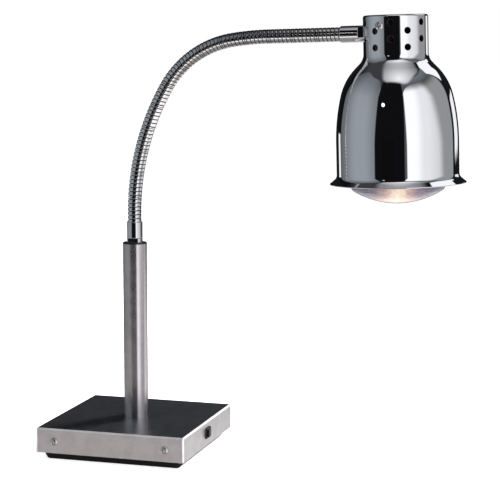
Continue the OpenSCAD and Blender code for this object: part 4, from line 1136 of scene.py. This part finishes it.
class HEATLAMP_OT_shade(LampOperator, bpy.types.Operator):
    """Spun mirror shade with its vented collar and rolled rim"""

    bl_idname = "heatlamp.shade"
    bl_label = "Shade"

    def execute(self, context):
        wall, vent_rim, edge, around = 1.0, 0.3, 3.0, 144
        start = radians(VENT_TURN + 180 / COLUMNS)
        skin = Skin(HEAD)
        # Outer wall, then inner wall; the inner takes the dark inside finish, painted shade
        for mark, inset, way, rim in ((0, 0.0, 1, vent_rim), (1, wall, -1, 0.0)):
            r, top = COLLAR_R - inset, SHADE_TOP - inset
            straight = np.array([[r, COLLAR_LOW], [r, ROW_EDGES[-1]]]), np.array([[1.0, 0], [1.0, 0]])
            for p, n in (shade_profile(inset), straight):
                lathe(skin, (p, way * n), around, start, mark)
            vented_wall(skin, r, rim, way, mark)
            p, n = path([(r, ROW_EDGES[0]), (r, top, edge - inset), (0, top)], steps=10)
            lathe(skin, (p, way * n), around, start, mark)
        vent_edges(skin, wall, vent_rim)
        # The rolled rim: half a turn from the outer wall to the inner, swelling in between
        outer, inner = (shade_profile(inset)[0][0] for inset in (0.0, wall))
        middle = (outer + inner) / 2
        swell = np.linspace(0, 1, 19)
        a = np.arctan2(*(outer - middle)[::-1]) - swell * pi
        reach = wall / 2 + (BEAD - wall / 2) * np.sin(pi * swell) ** 0.5
        n = np.stack([np.cos(a), np.sin(a)], -1)
        lathe(skin, (middle + reach[:, None] * n, n), around, start)
        skin.build("shade_spinning", "shade inside vent", "head", "shade")
        return {"FINISHED"}


# Heights over the head's origin, the bulb's length with its cap, and the radius of its coil
BULB_FACE, BULB_LENGTH = -224.5, 175.0
GLASS_TOP = BULB_FACE + BULB_LENGTH - 35.0
COIL_Z, COIL_R = GLASS_TOP - 62, 10.0


def bulb_profile(inset):
    """Outline of the reflector bulb from the middle of its face to its neck, moved in by an inset:
    the face's wide arc, a small arc at its edge, two arcs of one angle that meet on the way to the
    neck, and the neck with its seat in the cap."""
    half, face, corner, neck, neck_run, seat = size("bulb_width") / 2, 112.0, 7.0, 20.0, 30.0, 12.3
    low = half - corner
    c_corner = np.array([low, BULB_FACE + face - sqrt((face - corner) ** 2 - low ** 2)])
    a_face = degrees(asin(low / (face - corner)))
    side_z, neck_z = c_corner[1] + 2, GLASS_TOP - neck_run
    a = 2 * atan((half - neck) / (neck_z - side_z))
    s = (neck_z - side_z) / sin(a)
    body, hollow, a = s * 0.74, s * 0.26, degrees(a)
    tail = path([(neck - inset, neck_z), (neck - inset, GLASS_TOP - 7, 3),
                 (13.8 - 2.2 * inset, GLASS_TOP - 0.2 - inset),
                 (seat - inset, GLASS_TOP - 0.2 - inset * 0.2), (seat - inset, GLASS_TOP + 2)], steps=4)
    return joined(
        arc((0, BULB_FACE + face), face - inset, -90, -90 + a_face, 24),
        arc(c_corner, corner - inset, -90 + a_face, 0, 10),
        arc((half - body, side_z), body - inset, 0, a, 24),
        arc((neck + hollow, neck_z), hollow + inset, 180 + a, 180, 12, True), tail)


class HEATLAMP_OT_bulb(LampOperator, bpy.types.Operator):
    """Reflector bulb: glass shell, mirror layer, screw cap and coil"""

    bl_idname = "heatlamp.bulb"
    bl_label = "Bulb"

    def execute(self, context):
        wall, around = 1.0, 128
        (p, n), (q, m) = bulb_profile(0.0), bulb_profile(wall)
        skin = Skin(HEAD)
        lathe(skin, (p, n), around)
        lathe(skin, (q[::-1], -m[::-1]), around)
        lathe(skin, (np.array([p[-1], q[-1]]), np.array([[0, 1.0], [0, 1.0]])), around)
        skin.build("bulb_shell", "glass", "head", "bulb_glass")

        # The mirror layer lines the glass from the end of the face's edge to the start of the neck
        first, last = 35, 72
        (p, n), (q, m) = bulb_profile(wall + 0.03), bulb_profile(wall + 0.28)
        cut = slice(first, last + 1)
        skin = Skin(HEAD)
        lathe(skin, (p[cut], n[cut]), around)
        lathe(skin, (q[cut], -m[cut]), around)
        for e, way in ((first, -1), (last, 1)):
            through = p[e] - q[e]
            rim = way * np.array([through[1], -through[0]])
            lathe(skin, (np.array([p[e], q[e]]), unit(np.array([rim, rim]))), around)
        skin.build("bulb_mirror_coat", "mirror", "head", "bulb_mirror")

        # The cap: seven turns of a thread that fades out at both ends, between a skirt and a top
        top = BULB_FACE + BULB_LENGTH - 6
        foot = top - 25
        thread = np.linspace(0, 1, 113)[:, None]
        a = np.linspace(0, 2 * pi, 97)
        fade = np.clip(np.minimum(thread, 1 - thread) * 12, 0, 1)
        radius = 12.6 + 0.38 * np.cos((thread * 7 - a / (2 * pi)) * 2 * pi) * fade
        skin = Skin(HEAD)
        skin.grid(turned(radius, a, foot + 1.5 + thread * 21.5))
        lathe(skin, path([(12.62, foot - 4), (14, foot - 4, 0.3), (14, foot + 0.6, 0.8), (12.6, foot + 1.5)],
                         steps=4), 96)
        lathe(skin, path([(12.6, foot + 23), (12.2, top, 1.2), (8, top, 0.3), (8, top - 0.5),
                          (11.9, top - 0.6), (12.2, foot - 4), (12.62, foot - 4)], steps=4), 96)
        skin.build("bulb_screw_cap", "mirror", "head", "bulb_cap")

        # The coil: 44 small turns along half a circle, and the two leads that hold it
        half, turns = np.linspace(0, pi, 900), 44
        wind, coil_r = half * 2 * turns, 0.62
        r = COIL_R + coil_r * np.cos(wind)
        skin = Skin(HEAD)
        line = np.stack([-r * np.cos(half), -r * np.sin(half), COIL_Z + coil_r * np.sin(wind)], -1)
        swept(skin, line, 0.22, 6, (0.01, 0.02, 1))
        for side in (-1, 1):
            lead = eased([(side * 1.5, 0, GLASS_TOP - 34), (side * 1.5, 0, GLASS_TOP - 36),
                          (side * 3, 0, GLASS_TOP - 40), (side * COIL_R, 0, COIL_Z)], 2)
            swept(skin, lead, 0.8, 10)
        skin.build("bulb_filament", "tungsten", "head", "filament")
        return {"FINISHED"}


class HEATLAMP_OT_holder(LampOperator, bpy.types.Operator):
    """Porcelain lamp holder inside the collar"""

    bl_idname = "heatlamp.holder"
    bl_label = "Lamp holder"

    def execute(self, context):
        mouth, floor, top = BULB_FACE + 145, BULB_FACE + BULB_LENGTH + 2, BULB_FACE + 195
        skin = Skin(HEAD)
        lathe(skin, path([(17.2, mouth), (20, mouth, 0.8), (21, mouth + 1, 0.6), (21, floor - 6, 0.8),
                          (19, floor, 0.8), (19, top, 1.2), (4.5, top, 0.4), (4.5, floor), (14.2, floor),
                          (14.2, mouth + 4), (16.5, mouth + 4), (16.5, mouth), (17.2, mouth)], steps=4))
        skin.build("holder_porcelain", "porcelain", "head", "holder_body")
        return {"FINISHED"}


class HEATLAMP_OT_leads(LampOperator, bpy.types.Operator):
    """Wires in the base and in the collar"""

    bl_idname = "heatlamp.leads"
    bl_label = "Leads"

    def execute(self, context):
        # Height over the tray's floor, the switch's tabs, and the first terminal of the block
        low, tab_x, tab_z = 7.0, COVER_HALF - 20.5, COVER_TOP - 15.4
        x, y, z = -43, -29, 9.5
        skin = Skin()
        for points, side in (
            ([(x, y, z), (x + 12, y, z), (-12, -12, low), (-1.4, -1.4, low)], (0, 0, 1)),
            ([(x, y - 10, z), (x + 16, y - 10, z), (40, -30, low), (tab_x - 8, -7.1, low),
              (tab_x, -7.1, low + 3), (tab_x, -7.1, tab_z)], (0, 1, 0)),
            ([(1.4, 1.4, low), (24, 6, low), (tab_x - 10, 0.1, low), (tab_x, 0.1, low + 3),
              (tab_x, 0.1, tab_z)], (0, 1, 0)),
        ):
            swept(skin, eased(points), 2.4, 12, side)
        skin.build("base_wires", "sheath", "base", "base_leads")
        skin = Skin(HEAD)
        first = -COLLAR_R + 18.5
        for s in (-1, 1):
            swept(skin, eased([(first, s * 1.4, 0), (first + 12, s * 2, 0), (-2, s * 2.2, -2),
                               (-2, s * 2.2, -32)]), 2.0)
        skin.build("collar_wires", "sheath", "head", "head_leads")
        return {"FINISHED"}


class HEATLAMP_OT_carried(LampOperator, bpy.types.Operator):
    """Finishes of the solids that stay as they are"""

    bl_idname = "heatlamp.carried"
    bl_label = "Inner solids"

    def execute(self, context):
        for look, names in (
            ("iron", "ballast_plate"),
            ("zinc", "tray_screws foot_plug post_spacer post_washer post_nut lower_washer"
                     " saddle_washer holder_screws"),
            ("strap", "holder_bracket"),
            ("brass", "lower_locknut upper_locknut holder_shell holder_contact switch_terminals"
                      " earth_stud bulb_contact"),
            ("stem", "bulb_stem"), ("insulator", "bulb_insulator"), ("block", "terminal_block"),
            ("gland", "gland_nut"),
        ):
            for name in names.split():
                for held in NODES[name].material_slots:
                    held.material = finish(look)
        return {"FINISHED"}


# Stage

CAMERA_AT, CAMERA_TO = (0.8004, -2.1103, 0.5830), (0.1443, 0.0805, 0.2868)


def aimed(place, to):
    """The place of an object that looks from one point to another."""
    turn = (Vector(to) - Vector(place)).to_track_quat("-Z", "Y")
    return Matrix.Translation(place) @ turn.to_matrix().to_4x4()


class HEATLAMP_OT_stage(LampOperator, bpy.types.Operator):
    """Floor, light, panels that the metal mirrors, and the camera"""

    bl_idname = "heatlamp.stage"
    bl_label = "Stage"

    def execute(self, context):
        scene = context.scene
        scene.view_settings.view_transform = "Standard"
        # White where the eye, a mirror or glass sees it, and a little over half of that as light
        scene.world = bpy.data.worlds.new("plain_light")
        w = Finish("plain_light", scene.world)
        rays = "Is Camera Ray", "Is Glossy Ray", "Is Transmission Ray"
        eye, gloss, glass = w.node("ShaderNodeLightPath", out=rays)
        level = ((eye + gloss + glass) > 0.5) * 0.45 + 0.55
        back = w.node("ShaderNodeBackground", None, {"Color": (1, 1, 1), "Strength": level})
        w.node("ShaderNodeOutputWorld", None, {"Surface": back})

        half, under = 30.0, -0.0002
        corners = [(x * half, y * half, under) for x, y in ((-1, -1), (1, -1), (1, 1), (-1, 1))]
        floor = bpy.data.meshes.new("floor")
        floor.from_pydata(corners, [], [(0, 1, 2, 3)])
        floor.materials.append(finish("floor"))
        ground = bpy.data.objects.new("floor", floor)
        scene.collection.objects.link(ground)
        ground.visible_glossy = False

        ball = Skin()
        lathe(ball, arc((0, 0), 2600, -90, 90, 48, True))
        tent = ball.build("panel_ball", "panels")
        tent.location = (0.15, 0, 0.3)
        for kind in ("camera", "diffuse", "shadow", "transmission", "volume_scatter"):
            setattr(tent, "visible_" + kind, False)

        for name, place, to, width, power, tone in (
            ("key", (1.6, -1.4, 2.0), (0.15, 0, 0.25), 1.4, 34.0, (1.0, 0.99, 0.97)),
            ("fill", (-2.0, -1.8, 1.4), (0.1, 0, 0.25), 1.8, 18.0, (0.95, 0.97, 1.0)),
            ("rear", (1.1, 1.56, 1.15), (0, 0, 0.1), 0.5, 260.0, (1.0, 1.0, 1.0)),
        ):
            lamp = bpy.data.lights.new(name, "AREA")
            lamp.size, lamp.energy, lamp.color = width, power, tone
            holder = bpy.data.objects.new(name, lamp)
            holder.matrix_world = aimed(place, to)
            holder.visible_glossy = False
            scene.collection.objects.link(holder)

        lens = bpy.data.cameras.new("camera")
        lens.sensor_width, lens.lens, lens.clip_end = 36.0, 116.65, 100.0
        scene.camera = bpy.data.objects.new("camera", lens)
        scene.camera.matrix_world = aimed(CAMERA_AT, CAMERA_TO)
        scene.collection.objects.link(scene.camera)
        return {"FINISHED"}


PIECES = (
    HEATLAMP_OT_stage, HEATLAMP_OT_base_cover, HEATLAMP_OT_base_tray, HEATLAMP_OT_screws,
    HEATLAMP_OT_switch, HEATLAMP_OT_gland, HEATLAMP_OT_post, HEATLAMP_OT_ferrules, HEATLAMP_OT_neck,
    HEATLAMP_OT_shade, HEATLAMP_OT_bulb, HEATLAMP_OT_holder, HEATLAMP_OT_leads, HEATLAMP_OT_carried,
)


class HEATLAMP_PT_sidebar(bpy.types.Panel):
    """Lists the sizes, colours and pieces"""

    bl_idname = "HEATLAMP_PT_sidebar"
    bl_label = "Heat lamp"
    bl_space_type = "VIEW_3D"
    bl_region_type = "UI"
    bl_category = "Heat lamp"

    def draw(self, context):
        for group in (context.scene.heat_lamp_sizes, context.scene.heat_lamp_colours):
            box = self.layout.box()
            for name in group.bl_rna.properties.keys():
                if name not in {"rna_type", "name"}:
                    box.prop(group, name)
        for piece in PIECES:
            self.layout.operator(piece.bl_idname)


CLASSES = (HeatLampSizes, HeatLampColours, *PIECES, HEATLAMP_PT_sidebar)


def register():
    for cls in CLASSES:
        bpy.utils.register_class(cls)
    bpy.types.Scene.heat_lamp_sizes = bpy.props.PointerProperty(type=HeatLampSizes)
    bpy.types.Scene.heat_lamp_colours = bpy.props.PointerProperty(type=HeatLampColours)


def unregister():
    del bpy.types.Scene.heat_lamp_sizes
    del bpy.types.Scene.heat_lamp_colours
    for cls in reversed(CLASSES):
        bpy.utils.unregister_class(cls)


def main():
    register()
    for piece in PIECES:
        group, name = piece.bl_idname.split(".")
        getattr(getattr(bpy.ops, group), name)()


if __name__ == "__main__":
    main()
